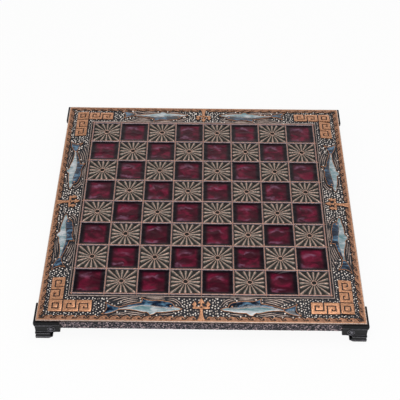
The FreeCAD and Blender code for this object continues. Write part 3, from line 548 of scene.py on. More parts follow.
rays = grown("rays", turned_copies, thing=ray, count=RAYS, square=1.0, finish=field_copper)
sunburst = joined("sunburst", rays, hub)
for vertex in sunburst.data.vertices:
    vertex.co.z += ground * MM
lines = SQUARES + 1
laid_out = []
for name, thing, columns, rows, turn, chequered, finish in (
    ("field_sunbursts", sunburst, SQUARES, SQUARES, 0.0, True, field_copper),
    ("ridges_across", ridge, 1, lines, 0.0, False, ridge_copper),
    ("ridges_along", ridge, lines, 1, math.pi / 2, False, ridge_copper),
    ("bosses", boss, lines, lines, 0.0, False, ridge_copper),
):
    sizes = {"columns": columns, "rows": rows, "pitch": pitch * MM, "turn": turn}
    laid_out.append(grown(name, set_out, thing=thing, chequered=chequered, finish=finish, **sizes))
sunbursts = laid_out[0]
field_ridges = joined("field_ridges", *laid_out[1:])
for template in (ray, boss, ridge, sunburst):
    bpy.data.objects.remove(template)
for part in (field_plate, field_ridges, sunbursts):
    fit(part, "copper_casting", "field_casting")

# Red enamel: transparent crimson glass fired into each pocket. It creeps up the walls as it
# melts, so its edges rise. They are painted darker, partly for the thicker glass there and
# partly as painted shade and reflection of the walls. Two mauve streaks are painted
# reflections of the lamps, and its surface keeps slow waves that catch the light.
crimson_enamel, tree = surface("fired_crimson_enamel")
uv = node(tree, "ShaderNodeUVMap", uv_map="square").outputs[0]
across, along = node(tree, "ShaderNodeSeparateXYZ", [uv]).outputs[:2]
drifting = noise(tree, 10, 3, (1.4, 1, 1), 0.6)
wavering = node(tree, "ShaderNodeMapRange", [drifting, 0.3, 0.7, -0.12, 0.12])


def apart(tree, one, other):
    """How far two values are apart."""
    gap = node(tree, "ShaderNodeMath", [one, other], operation="SUBTRACT")
    return node(tree, "ShaderNodeMath", [gap], operation="ABSOLUTE")


def from_edge(place, dark, margin):
    """0 at either end of a 0 to 1 run, as far as the dark share, and 1 past a margin."""
    marks = [apart(tree, place, 0.5), 0.5 - dark, 0.5 - margin]
    return node(tree, "ShaderNodeMapRange", marks, interpolation_type="SMOOTHERSTEP")


def reflection_streak(peak_across, peak_along, fall, breadth):
    """A soft painted reflection streak, peaked like a roof: 1 along it and 0 beyond its breadth."""
    aside = apart(tree, across, peak_across)
    lowered = node(tree, "ShaderNodeMath", [aside, fall, along], operation="MULTIPLY_ADD")
    bent = node(tree, "ShaderNodeMath", [lowered, wavering], operation="ADD")
    marks = [apart(tree, bent, peak_along), breadth, 0.0]
    line = node(tree, "ShaderNodeMapRange", marks, interpolation_type="SMOOTHERSTEP")
    near_peak = node(tree, "ShaderNodeMapRange", [aside, 0.36, 0.08], interpolation_type="SMOOTHERSTEP")
    return node(tree, "ShaderNodeMath", [line, near_peak], operation="MULTIPLY")


# Painted shade: darker towards the walls, partly for the thicker glass there and partly shade and
# reflection of the walls painted in.
inside = [from_edge(across, 0.03, 0.21), from_edge(along, 0.01, 0.16)]
clear = node(tree, "ShaderNodeMath", inside, operation="MULTIPLY")
depth = node(tree, "ShaderNodeMapRange", [drifting, 0.3, 0.72, 0.5, 1.0])
glow = node(tree, "ShaderNodeMath", [clear, depth], operation="MULTIPLY")
crimson = graded(tree, glow, (0.0, "#0c050d"), (0.3, "#220612"), (0.7, "#40081b"), (1.0, "#761434"))
# Painted reflections: two mauve streaks of the lamps' reflection, stronger where noise gathers them.
both_streaks = [reflection_streak(0.42, 0.76, 0.34, 0.12), reflection_streak(0.34, 0.2, 0.1, 0.09)]
streaks = node(tree, "ShaderNodeMath", both_streaks, operation="MAXIMUM")
streaks = node(tree, "ShaderNodeMath", [streaks, clear], operation="MULTIPLY")
streak_patches = noise(tree, 6, 2, (1.5, 1, 1))
streak_strength = node(tree, "ShaderNodeMapRange", [streak_patches, 0.4, 0.65, 0.06, 0.4])
streak_share = node(tree, "ShaderNodeMath", [streaks, streak_strength], operation="MULTIPLY")
streak_mix = {0: streak_share, 6: crimson, 7: linear("#a87a98")}
streaked = node(tree, "ShaderNodeMix", streak_mix, data_type="RGBA").outputs[2]
glass = {"Roughness": 0.16, "Specular IOR Level": 0.3, "Coat Weight": 0.1, "Coat Roughness": 0.06}
coated(tree, streaked, glass, noise(tree, 11, 2, (1.5, 1, 1), 0.6), 0.45)

ENAMEL_STEPS = 14
ENAMEL_CREEP = 0.35
ENAMEL_WAVE = 0.07
for column in range(SQUARES):
    for rank in range(SQUARES):
        if (column + rank) % 2:
            continue
        square = f"{chr(ord('a') + column)}{rank + 1}"
        lo, hi = (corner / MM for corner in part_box(f"red_enamel_{square}"))
        draw = np.random.default_rng(column * SQUARES + rank)
        phase = draw.uniform(0, math.tau, 4)
        shares = np.linspace(0, 1, ENAMEL_STEPS)
        shares = 0.5 - 0.5 * np.cos(shares * math.pi) * (0.35 + 0.65 * np.abs(2 * shares - 1)) ** 0.2
        shares[0], shares[-1] = 0, 1
        # Fewer than two slow waves cross a square, and they die away at its edge.
        points = []
        for s in shares:
            for t in shares:
                edge = max(abs(2 * s - 1), abs(2 * t - 1)) ** 8
                wave = math.sin(7 * s + phase[0]) * math.sin(5 * t + phase[1])
                wave += math.sin(11 * t + phase[2]) / 2
                z = hi.z - ENAMEL_WAVE + ENAMEL_WAVE * wave * (1 - edge) + ENAMEL_CREEP * edge
                points.append((lo.x + s * (hi.x - lo.x), lo.y + t * (hi.y - lo.y), z))
        faces = []
        for i in range(ENAMEL_STEPS - 1):
            for j in range(ENAMEL_STEPS - 1):
                here = i * ENAMEL_STEPS + j
                faces.append((here, here + ENAMEL_STEPS, here + ENAMEL_STEPS + 1, here + 1))
        rim = [i * ENAMEL_STEPS for i in range(ENAMEL_STEPS - 1)]
        rim += [(ENAMEL_STEPS - 1) * ENAMEL_STEPS + j for j in range(ENAMEL_STEPS - 1)]
        rim += [i * ENAMEL_STEPS + ENAMEL_STEPS - 1 for i in range(ENAMEL_STEPS - 1, 0, -1)]
        rim += list(range(ENAMEL_STEPS - 1, 0, -1))
        base = len(points)
        points += [(points[index][0], points[index][1], lo.z) for index in rim]
        size = len(rim)
        for k in range(size):
            after = (k + 1) % size
            faces.append((rim[k], base + k, base + after, rim[after]))
        faces.append(tuple(base + k for k in reversed(range(size))))
        enamel = piece(f"enamel_square_{square}", points, faces, crimson_enamel)
        uv_layer = enamel.data.uv_layers.new(name="square")
        for loop in enamel.data.loops:
            x, y, _ = points[loop.vertex_index]
            uv_layer.data[loop.index].uv = ((x - lo.x) / (hi.x - lo.x), (y - lo.y) / (hi.y - lo.y))
        fit(enamel, "red_enamel", f"red_enamel_{square}")

# Border casting: a sloping frame with the same antiqued copper on its ornament, over a
# pebbled ground painted blue-black. Outlines are drawn flat for the front side, u along
# the edge from the middle of the side and v up the slope from the outer edge.
BORDER_WALL = 1.2
BORDER_WIDTH = 36
GROOVE = 1.6
BORDER_FALL = 3.0
border_lo, border_hi = (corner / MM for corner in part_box("border_casting"))
board_half = border_hi.x
border_inner = plate_half + GROOVE
slope = BORDER_FALL / (board_half - border_inner)
rim_top = border_lo.z + BORDER_WALL
inner_top = rim_top + (board_half - border_inner) * slope


def on_border(u, v, height):
    """A point of the flat drawing put on the front side's slope."""
    return u, v - board_half, rim_top + v * slope + height


def square_ring(section):
    """A closed section (distance from the middle, height) taken round the board, mitred."""
    rings = []
    for sx, sy in ((-1, -1), (1, -1), (1, 1), (-1, 1)):
        rings.append([(sx * out, sy * out, z) for out, z in section])
    return swept(rings, closed=True)


blackened_ground, tree = surface("blue_black_painted_ground")
painted = graded(tree, noise(tree, 2.0, 4), (0.3, "#0a0c13"), (0.7, "#191b24"))
coated(tree, painted, {"Roughness": 0.5, "Metallic": 0.2}, noise(tree, 0.9, 3), 0.08)

ground_section = (
    (board_half - 0.3, border_lo.z),
    (board_half - 0.3, rim_top - 0.1),
    (border_inner + 0.2, inner_top - 0.05),
    (border_inner + 0.2, field_lo.z),
)
border_ground = piece("border_ground", *square_ring(ground_section), blackened_ground)

border_copper = antiqued_copper(
    "antiqued_copper_border", "#1a1514", "#4a362b", "#a0765e", "#d39b76", 0.6
)
border_pewter = antiqued_copper(
    "pewter_grey_border_lines", "#1c191b", "#5a4f4e", "#aa9a95", "#d6bfb1", 0.2
)
RELIEF = 0.8
RELIEF_ROOT = 0.4


class Casting:
    """Gathers points, faces and relief of one casting's ornament."""

    def __init__(self):
        self.points, self.faces, self.shades = [], [], []

    def add(self, shape, place=None, flipped=False):
        """Adds a shape, put in its place, its faces turned over where the place mirrors it."""
        points, faces, shades = shape
        base = len(self.points)
        self.points += [place(*point) for point in points] if place else points
        order = -1 if flipped else 1
        self.faces += [tuple(base + index for index in face[::order]) for face in faces]
        self.shades += shades


def arc_points(start, via, end, step=1.0):
    """Points along the arc through three points, without the first."""
    (x0, y0), (x1, y1), (x2, y2) = start, via, end
    turn = 2 * (x0 * (y1 - y2) + x1 * (y2 - y0) + x2 * (y0 - y1))
    if abs(turn) < 1e-6:
        return [end]
    squares = [x * x + y * y for x, y in (start, via, end)]
    cx = (squares[0] * (y1 - y2) + squares[1] * (y2 - y0) + squares[2] * (y0 - y1)) / turn
    cy = (squares[0] * (x2 - x1) + squares[1] * (x0 - x2) + squares[2] * (x1 - x0)) / turn
    radius = math.hypot(x0 - cx, y0 - cy)
    first, middle, last = (math.atan2(y - cy, x - cx) for x, y in (start, via, end))
    sweep = (last - first) % math.tau
    if (middle - first) % math.tau > sweep:
        sweep -= math.tau
    count = max(2, round(abs(sweep) * radius / step))
    angles = [first + sweep * k / count for k in range(1, count + 1)]
    return [(cx + radius * math.cos(angle), cy + radius * math.sin(angle)) for angle in angles]


def drawn(start, *steps):
    """A line of arcs (via point, end point) and straight lines (end point)."""
    path = [start]
    for way in steps:
        path += arc_points(path[-1], way[:2], way[2:]) if len(way) == 4 else [way]
    return path


def raised(outlines, height=RELIEF, softness=0.25, top_shade=1.0):
    """Flat outlines raised off the slope, with softened edges; inner outlines are holes."""
    curve = bpy.data.curves.new("raised", "CURVE")
    curve.dimensions = "2D"
    curve.fill_mode = "BOTH"
    curve.extrude = (height + RELIEF_ROOT) / 2 - softness
    curve.bevel_depth = softness
    curve.bevel_resolution = 1
    curve.offset = -softness
    for outline in outlines:
        spline = curve.splines.new("POLY")
        spline.points.add(len(outline) - 1)
        for point, (u, v) in zip(spline.points, outline):
            point.co = (u, v, 0, 1)
        spline.use_cyclic_u = True
    maker = bpy.data.objects.new("raised", curve)
    scene.collection.objects.link(maker)
    mesh = bpy.data.meshes.new_from_object(maker.evaluated_get(bpy.context.evaluated_depsgraph_get()))
    lift = (height - RELIEF_ROOT) / 2
    welded, index_of, order = {}, [], []
    for vertex in mesh.vertices:
        key = tuple(round(co, 3) for co in vertex.co)
        if key not in welded:
            welded[key] = len(order)
            order.append(vertex.co.copy())
        index_of.append(welded[key])
    faces = []
    for face in mesh.polygons:
        corners = list(dict.fromkeys(index_of[index] for index in face.vertices))
        if len(corners) > 2:
            faces.append(tuple(corners))
    points = [(co.x, co.y, co.z + lift) for co in order]
    shades = [min(1.0, max(0.0, 0.25 + (top_shade - 0.25) * z / height)) for _, _, z in points]
    bpy.data.objects.remove(maker)
    bpy.data.meshes.remove(mesh)
    bpy.data.curves.remove(curve)
    return points, faces, shades


def bead(path, width, height, closed=False, taper=0.0):
    """A half-round line of metal along a path, thinning to its ends where asked."""
    line = np.array(path)
    if closed:
        tangent = np.roll(line, -1, 0) - np.roll(line, 1, 0)
    else:
        tangent = np.gradient(line, axis=0)
    tangent /= np.linalg.norm(tangent, axis=1)[:, None]
    section = both_flanks((0.5, -RELIEF_ROOT / height, 0.0), (0.44, 0.45, 0.45), (0.2, 0.9, 0.9))
    rings, shades = [], []
    for k, ((u, v), (tu, tv)) in enumerate(zip(line, tangent)):
        share = k / (len(line) - 1)
        full = min(1.0, 0.25 + 0.75 * min(share, 1 - share) / taper) if taper else 1.0
        ring = []
        for side, rise, shade in section:
            reach = side * width * full
            ring.append((u - tv * reach, v + tu * reach, rise * height * full))
            shades.append(shade)
        rings.append(ring)
    return *swept(rings, closed), shades


def add_both(casting, shape):
    """Adds a shape to both halves of the front side, mirrored about its middle."""
    casting.add(shape, on_border)
    casting.add(shape, lambda u, v, height: on_border(-u, v, height), flipped=True)


front = Casting()

# Edge band with running waves that lean to the middle of the side: each a rounded scroll
# with a bright lip and a dark curl cut inside it.
WAVE_PITCH = 11.9
WAVE_START = 5
WAVE_REACH = 7.4
WAVE_LINE = 0.8
WAVE_BODY = 0.5
wave_path = drawn(
    (11.8, 2.4),
    (9.6, 5.5, 6.2, 6.7),
    (2.5, 6.9, 0.9, 4.6),
    (1.5, 3.9, 2.2, 4.5),
    (2.9, 5.6, 4.1, 5.0),
    (4.6, 3.6, 3.4, 2.4),
)
wave_lip = drawn((11.3, 3.2), (9.3, 5.3, 6.2, 6.4), (2.8, 6.6, 1.3, 4.7))
wave_curl = drawn((5.4, 2.9), (5.6, 4.4, 4.2, 5.2))
wave_spray = drawn((12.9, 3.9), (11.2, 6.4, 8.4, 7.4))
start = WAVE_START
while start + WAVE_PITCH < board_half - WAVE_REACH:
    body = [(start + u, v) for u, v in wave_path]
    add_both(front, raised([body], WAVE_BODY, softness=0.2, top_shade=0.62))
    for line, full in ((wave_lip, 1.0), (wave_curl, 0.6), (wave_spray, 0.8)):
        moved = [(start + u, v) for u, v in line]
        add_both(front, bead(moved, WAVE_LINE * full, RELIEF * full + 0.15, taper=0.25))
    start += WAVE_PITCH

# Greek keys: a corner square and two arms of two turned hooks, flat on top and bright.
KEY_OFFSET, KEY_WIDTH, KEY_UNIT, KEY_LINE = 12.3, 14.7, 15.6, 1.3
KEY_BAR, KEY_EDGE, KEY_HOOK, KEY_TAIL = 4.3, 1.95, 4.2, 1.6
KEY_RING, KEY_ISLAND = 3.4, 4.8
key_low, key_top = KEY_OFFSET, KEY_OFFSET + KEY_WIDTH
key_middle = (key_low + key_top) / 2
key_centre = board_half - key_middle
key_end = board_half - KEY_OFFSET - KEY_WIDTH - KEY_LINE - 2 * KEY_UNIT


def square_outline(u, v, half):
    """A square's outline about a point."""
    return [(u - half, v - half), (u + half, v - half), (u + half, v + half), (u - half, v + half)]


def slot_sides(path, width):
    """The outline of a square-cornered slot: down its left side, round its end and back."""
    half = width / 2
    left, right = [], []
    for k, (u, v) in enumerate(path):
        before = path[max(k - 1, 0)]
        after = path[min(k + 1, len(path) - 1)]
        ways = [np.sign(np.subtract(here, there)) for there, here in ((before, (u, v)), ((u, v), after))]
        normal = sum((np.array((-way[1], way[0])) for way in ways), np.zeros(2))
        normal = np.sign(normal)
        reach = np.array((0.0, 0.0))
        if k == len(path) - 1:
            reach = ways[0] * half
        left.append(tuple(np.array((u, v)) + normal * half + reach))
        right.append(tuple(np.array((u, v)) - normal * half + reach))
    return left + right[::-1]


def key_arm(start):
    """One arm's outline: a bar with a hooked slot in from each long edge."""
    length = 2 * KEY_UNIT
    left, right = start + KEY_BAR, start + KEY_UNIT - KEY_EDGE
    slot = [
        (right, key_top),
        (right, key_low + KEY_BAR),
        (left, key_low + KEY_BAR),
        (left, key_top - KEY_BAR),
        (left + KEY_HOOK, key_top - KEY_BAR),
        (left + KEY_HOOK, key_top - KEY_BAR - KEY_TAIL),
    ]
    turned = [(2 * start + length - u, key_low + key_top - v) for u, v in slot]
    low_edge = [(start, key_low)] + slot_sides(turned, KEY_LINE) + [(start + length, key_low)]
    high_edge = [(start + length, key_top)] + slot_sides(slot, KEY_LINE) + [(start, key_top)]
    return low_edge + high_edge


corner_plates = [
    square_outline(-key_centre, key_middle, half)
    for half in (KEY_WIDTH / 2, KEY_WIDTH / 2 - KEY_RING, KEY_WIDTH / 2 - KEY_ISLAND)
]
front.add(raised(corner_plates), on_border)
for arm_start in (-key_end - 2 * KEY_UNIT, key_end):
    front.add(raised([key_arm(arm_start)]), on_border)


def ring_points(centre, radius, count=12):
    """Points round a circle."""
    turns = [math.tau * k / count for k in range(count)]
    return [(centre[0] + radius * math.cos(turn), centre[1] + radius * math.sin(turn)) for turn in turns]


# Trident in the middle of the side, with a round hole at its heart.
trident_half = [(0, 2.5)]
trident_half += drawn((4.2, 2.5), (2.1, 9.0, 1.6, 15.5), (1.6, 17.4), (8.4, 17.4), (9.6, 18.6, 8.4, 20.0))
trident_half += [(8.3, 21.4), (10.2, 22.6), (7.2, 27.4), (5.0, 22.6), (6.0, 21.4), (6.0, 20.0)]
trident_half += [(2.4, 20.0), (1.0, 22.0), (1.0, 25.0), (3.8, 24.4), (0, 31.5)]
trident = trident_half + [(-u, v) for u, v in reversed(trident_half[1:-1])]
front.add(raised([trident, ring_points((0, 19.4), 1.2)]), on_border)

# Dolphins: wire-like outlines round the enamel, one on each side of the trident, with
# flowing lines of water above and below. Each line is drawn from snout to tail.
LINE = 0.85
WATER_LINE = 1.15
BROW, CHIN = (29.5, 19.3), (34.0, 17.6)
STOCK_TOP, STOCK_LOW = (90.0, 18.4), (90.5, 15.2)
EYE = (33.8, 20.4)
EYE_RADIUS = 1.0
beak_line = drawn((21.0, 16.6), (25.0, 18.4, *BROW))
back_line = drawn(
    BROW,
    (31.8, 23.8, 38.0, 26.0),
    (46.0, 27.6, 54.0, 27.2),
    (60.5, 28.4, 66.5, 31.4),
    (65.2, 28.2, 66.0, 24.8),
    (78.0, 22.2, *STOCK_TOP),
)
fluke_line = drawn(
    STOCK_TOP,
    (98.3, 20.4, 105.8, 24.8),
    (103.9, 20.8, 103.6, 16.8),
    (105.4, 12.8, 109.2, 9.4),
    (99.4, 10.8, *STOCK_LOW),
)
belly_line = drawn(
    STOCK_LOW,
    (79.0, 15.4, 67.0, 13.0),
    (63.5, 12.2, 60.5, 12.4),
    (58.0, 11.0, 56.6, 8.8),
    (52.9, 9.4, 49.5, 12.2),
    (39.0, 12.6, 29.5, 14.4),
    (25.2, 14.8, 21.0, 16.6),
)
flank_line = drawn(
    BROW, (30.8, 17.9, *CHIN), (42.0, 18.2, 50.0, 19.4), (61.0, 20.6, 72.0, 19.8), (81.0, 18.2, 90.2, 16.9)
)
dolphin_outline = beak_line[:-1] + back_line[:-1] + fluke_line[:-1] + belly_line[:-1]
WATER = (
    ((23.6, 20.6), (28.8, 26.4), (37.2, 28.7)),
    ((21.4, 22.0), (27.0, 28.2), (36.0, 30.9)),
    ((40.2, 29.5), (48.0, 29.7), (57.4, 29.4)),
    ((41.0, 31.3), (50.0, 31.4), (61.0, 31.2)),
    ((69.6, 27.0), (78.0, 25.2), (87.0, 21.8)),
    ((69.4, 29.1), (79.0, 27.4), (90.0, 23.2)),
    ((70.0, 31.2), (81.0, 29.5), (93.0, 24.8)),
    ((80.4, 31.4), (89.0, 30.0), (98.0, 26.4)),
    ((92.6, 31.3), (98.6, 30.2), (104.0, 27.8)),
    ((31.0, 11.2), (38.0, 10.0), (46.0, 10.1)),
    ((61.5, 10.1), (71.0, 11.4), (82.0, 13.0)),
    ((64.0, 8.4), (76.0, 9.6), (89.0, 12.2)),
    ((82.0, 8.8), (89.0, 9.4), (97.0, 9.3)),
)

add_both(front, bead(dolphin_outline, LINE, RELIEF + 0.2, closed=True))
add_both(front, bead([STOCK_TOP, STOCK_LOW], LINE, RELIEF))
add_both(front, raised([ring_points(EYE, EYE_RADIUS)]))
front_lines = Casting()
add_both(front_lines, bead(flank_line, LINE * 0.7, RELIEF, taper=0.1))
for first, via, last in WATER:
    add_both(front_lines, bead(drawn(first, (*via, *last)), WATER_LINE, RELIEF + 0.1, taper=0.35))


def moulding(name, finish, out, up, *section):
    """A section taken round the board: each point a way out, a way up and how light its colour is."""
    ring = [(out + side, up + rise) for side, rise, _ in section]
    return piece(name, *square_ring(ring), finish, [shade for _, _, shade in section] * 4)


def all_round(name, casting, finish):
    """What is drawn for the front side, on all four sides."""
    template = piece("template", casting.points, casting.faces, finish, casting.shades or None)
    made = grown(name, turned_copies, thing=template, count=4, square=0.0, finish=finish)
    bpy.data.objects.remove(template)
    return made


# The edge band, its bright lip and the inner ridge run all round, mitred at the corners.
border_band = moulding(
    "border_band", border_copper, board_half, rim_top,
    # The rim's outer side is coloured darkest, darker towards its foot.
    (0, -BORDER_WALL, 0.05), (0, 0.1, 0.3), (-0.35, RELIEF - 0.1, 1.0), (-1.2, RELIEF + 0.05, 0.95),
    (-2.4, 0.65, 0.85), (-3.0, 0.5, 0.5), (-5.2, 0.58, 0.15), (-5.5, -BORDER_WALL, 0.0),
)
border_ridge = moulding(
    "border_ridge", border_pewter, border_inner, inner_top,
    (1.3, -0.2, 0.1), (1.1, 0.7, 0.45), (0.8, 1.15, 0.75), (0.4, 1.15, 0.75), (0, 0.6, 0.45),
    (0, field_lo.z - inner_top, 0.0),
)
border_lip = moulding(
    "border_lip", border_pewter, board_half, rim_top,
    (-0.1, 0.2, 0.3), (-0.1, 0.55, 0.7), (-0.35, RELIEF, 1.0), (-0.7, RELIEF + 0.08, 1.0),
    (-1.05, RELIEF, 0.7), (-1.05, 0.2, 0.3),
)
border_parts = [border_band, border_ridge, border_lip]
border_parts.append(all_round("border_ornament", front, border_copper))
border_parts.append(all_round("border_lines", front_lines, border_pewter))

# Pebbles: little cast grains left bright on the dark ground wherever no ornament stands.
PEBBLE = 0.9
PEBBLE_CLEARANCE = 0.85
PEBBLE_STRAY = 0.24
PEBBLE_SEED = 7
CORNER_START = 112
pearly_pebble, tree = surface("rubbed_silvery_pebbles")
tone = graded(tree, noise(tree, 3.2, 1), (0.28, "#776b63"), (0.44, "#bbaea5"), (0.58, "#f1e7de"))
coated(tree, tone, {"Metallic": 0.5, "Roughness": 0.3})
rings = []
for out, up in ((0.9, -0.3), (1.0, 0.15), (0.7, 0.62), (0.25, 0.8)):
    rings.append([(x, y, PEBBLE * up) for x, y in ring_points((0, 0), PEBBLE * out, 8)])
pebble = piece("pebble", *swept(rings), pearly_pebble)

# Grains stand in staggered rows, each a little out of line, wherever the bed is bare.
pebbled, given = new_tree(
    "pebbled_ground",
    bed="Object",
    ornament="Object",
    thing="Object",
    reach="Float",
    pitch="Float",
    clearance="Float",
    size="Float",
    seed="Int",
    finish="Material",
)
row_gap = node(pebbled, "ShaderNodeMath", [given["pitch"], math.sqrt(3) / 2], operation="MULTIPLY")
counts = []
for gap in (row_gap, given["pitch"]):
    fitting = node(pebbled, "ShaderNodeMath", [given["reach"], gap], operation="DIVIDE")
    counts.append(node(pebbled, "ShaderNodeMath", [fitting], operation="ROUND"))
lattice = node(pebbled, "GeometryNodeMeshGrid", [given["reach"], given["reach"], *counts])
index = node(pebbled, "GeometryNodeInputIndex")
row = node(pebbled, "ShaderNodeMath", [index, counts[1]], operation="DIVIDE")
row = node(pebbled, "ShaderNodeMath", [row], operation="FLOOR")
odd = node(pebbled, "ShaderNodeMath", [row, 2.0], operation="MODULO")
half_pitch = node(pebbled, "ShaderNodeMath", [given["pitch"], 0.5], operation="MULTIPLY")
stagger = node(pebbled, "ShaderNodeMath", [odd, half_pitch], operation="MULTIPLY")
low, high = (-PEBBLE_STRAY, -PEBBLE_STRAY, 0.0), (PEBBLE_STRAY, PEBBLE_STRAY, 0.0)
strays = {0: low, 1: high, 8: given["seed"]}
stray = node(pebbled, "FunctionNodeRandomValue", strays, data_type="FLOAT_VECTOR")
strayed = node(pebbled, "ShaderNodeVectorMath", {0: stray, 3: given["pitch"]}, operation="SCALE")
staggered = node(pebbled, "ShaderNodeCombineXYZ", {1: stagger})
offset = node(pebbled, "ShaderNodeVectorMath", [staggered, strayed], operation="ADD")
loose = node(pebbled, "GeometryNodeSetPosition", {0: lattice, 3: offset})
bare = node(pebbled, "GeometryNodeObjectInfo", [given["bed"]]).outputs["Geometry"]
fall = node(pebbled, "GeometryNodeRaycast", {0: bare, "Ray Direction": (0, 0, 1)})
missed = node(pebbled, "FunctionNodeBooleanMath", [fall.outputs["Is Hit"]], operation="NOT")
over_bed = node(pebbled, "GeometryNodeDeleteGeometry", [loose, missed], domain="POINT")
seated = node(pebbled, "GeometryNodeSetPosition", {0: over_bed, 2: fall.outputs["Hit Position"]})
figures_there = node(pebbled, "GeometryNodeObjectInfo", [given["ornament"]]).outputs["Geometry"]
away = node(pebbled, "GeometryNodeProximity", [figures_there], target_element="FACES").outputs["Distance"]
near = node(pebbled, "FunctionNodeCompare", [away, given["clearance"]], operation="LESS_THAN")
kept = node(pebbled, "GeometryNodeDeleteGeometry", [seated, near], domain="POINT")
spread = node(pebbled, "FunctionNodeRandomValue", {2: 0.8, 3: 1.12, 8: given["seed"]}).outputs[1]
grain_size = node(pebbled, "ShaderNodeMath", [spread, given["size"]], operation="MULTIPLY")
copy_out(pebbled, given, kept, {6: grain_size})

# What bars the grains: all raised ornament, and the enamel's cells.
cell_floors = Casting()
for side in (1, -1):
    floor_points = [(side * u, v, 0.2) for u, v in dolphin_outline]
    cell_floors.add((floor_points, [tuple(range(len(floor_points)))], []), on_border)
all_floors = all_round("all_floors", cell_floors, blackened_ground)
blocked = piece("blocked", *gathered(border_parts + [all_floors]), blackened_ground)

# The bed by the keys takes finer grains than the bed along the dolphins.
bed_low, bed_top = 6.0, BORDER_WIDTH - GROOVE - 1.6
corner_bed = [(-board_half + bed_low, bed_low), (-CORNER_START, bed_low)]
corner_bed += [(-CORNER_START, bed_top), (-board_half + bed_top, bed_top)]
mirrored_bed = [(-u, v) for u, v in reversed(corner_bed)]
middle_bed = [(-CORNER_START, bed_low), (CORNER_START, bed_low)]
middle_bed += [(CORNER_START, bed_top), (-CORNER_START, bed_top)]
bed_pieces = []
for name, outlines, grain_pitch, size in (
    ("pebbles_by_keys", (corner_bed, mirrored_bed), 3.1, 0.86),
    ("pebbles_by_dolphins", (middle_bed,), 3.5, 1.12),
):
    beds = Casting()
    for outline in outlines:
        beds.add(([(u, v, 0.0) for u, v in outline], [(0, 1, 2, 3)], []), on_border)
    bed_pieces.append(all_round("beds", beds, blackened_ground))
    grains = grown(
        name,
        pebbled,
        bed=bed_pieces[-1],
        ornament=blocked,
        thing=pebble,
        reach=2 * board_half * MM,
        pitch=grain_pitch * MM,
        clearance=PEBBLE_CLEARANCE * size * MM,
        size=size,
        seed=PEBBLE_SEED,
        finish=pearly_pebble,
    )
    border_parts.append(grains)
for template in (pebble, all_floors, blocked, *bed_pieces):
    bpy.data.objects.remove(template)
for part in (border_ground, *border_parts):
    fit(part, "copper_casting", "border_casting")


# Dolphin enamel: opaque glass laid in the cast cells and fired, navy running to sky blue on
# backs and flukes, the sky blue partly its own mottle and partly painted glints, and sea green
# running to milk white on the bellies. It domes a little.
def fired_enamel(name, lights, *stops):
    """Opaque enamel whose colour drifts along the cell, with soft lighter streaks."""
    made, tree = surface(name)
    drift = graded(tree, noise(tree, 5.5, 3, lights, 0.7), *stops)
    glass = {"Roughness": 0.14, "Coat Weight": 0.4, "Coat Roughness": 0.05}
    coated(tree, drift, glass, noise(tree, 4, 2), 0.2)
    return made


# Painted glints: the sky-blue stop is partly the enamel's lighter mottle and partly painted glints.
blue_enamel = fired_enamel(
    "fired_blue_enamel", (2, 1, 1), (0.38, "#080c16"), (0.5, "#182a42"), (0.66, "#5a7f99")
)
pale_enamel = fired_enamel(
    "fired_pale_enamel", (2.6, 1, 1), (0.34, "#5d858a"), (0.48, "#8fa2a8"), (0.64, "#c6c9cb")
)
CELL_STEP = 1.3
CELL_INSET = 0.6
CELL_CLEARANCE = 0.7
CELL_FLOOR = -0.2
SIDE_NAMES = ("front", "right", "back", "left")


def within(u, v, outline):
    """Whether a point lies inside an outline."""
    inside = False
    for (u0, v0), (u1, v1) in zip(outline, outline[1:] + outline[:1]):
        if (v0 > v) != (v1 > v) and u < u0 + (v - v0) / (v1 - v0) * (u1 - u0):
            inside = not inside
    return inside


def domed_cell(outline, edge=0.3, rise=0.3, spread=1.3):
    """Enamel in a cell: flat under, and on top rising from its edge to a low dome."""
    line = np.array(outline)
    low, high = line.min(0), line.max(0)
    inner = [
        (u, v)
        for u in np.arange(low[0] + CELL_INSET, high[0], CELL_STEP)
        for v in np.arange(low[1] + CELL_INSET, high[1], CELL_STEP)
        if within(u, v, outline) and np.hypot(*(line - (u, v)).T).min() > CELL_CLEARANCE
    ]
    count = len(outline)
    seeds = [Vector(point) for point in list(outline) + inner]
    result = geometry.delaunay_2d_cdt(seeds, [], [list(range(count))], 1, 1e-4)
    top, faces = result[0], [list(face) for face in result[2]]
    heights = [edge + rise * min(1.0, np.hypot(*(line - tuple(p)).T).min() / spread) ** 0.6 for p in top]
    points = [(p.x, p.y, h) for p, h in zip(top, heights)]
    base = len(points)
    points += [(p.x, p.y, CELL_FLOOR) for p in top]
    edges = {(a, b): True for face in faces for a, b in zip(face, face[1:] + face[:1])}
    rim = [(a, b) for a, b in edges if (b, a) not in edges]
    faces = faces + [[base + index for index in reversed(face)] for face in faces]
    faces += [[b, a, base + a, base + b] for a, b in rim]
    return points, [tuple(face) for face in faces], [0.0] * len(points)


blue_cells = [back_line + flank_line[-2:0:-1], fluke_line]
pale_cells = [beak_line[:-1] + flank_line + belly_line[1:-1]]
for colour, finish, outlines in (("blue", blue_enamel, blue_cells), ("pale", pale_enamel, pale_cells)):
    cells = Casting()
    for outline in outlines:
        add_both(cells, domed_cell(outline))
    for quarter, side_name in enumerate(SIDE_NAMES):
        spin = Matrix.Rotation(math.pi / 2 * quarter, 3, "Z")
        points = [tuple(spin @ Vector(point)) for point in cells.points]
        fill = piece(f"enamel_{colour}_{side_name}", points, cells.faces, finish)
        fit(fill, f"{colour}_enamel", f"dolphin_{colour}_{side_name}")

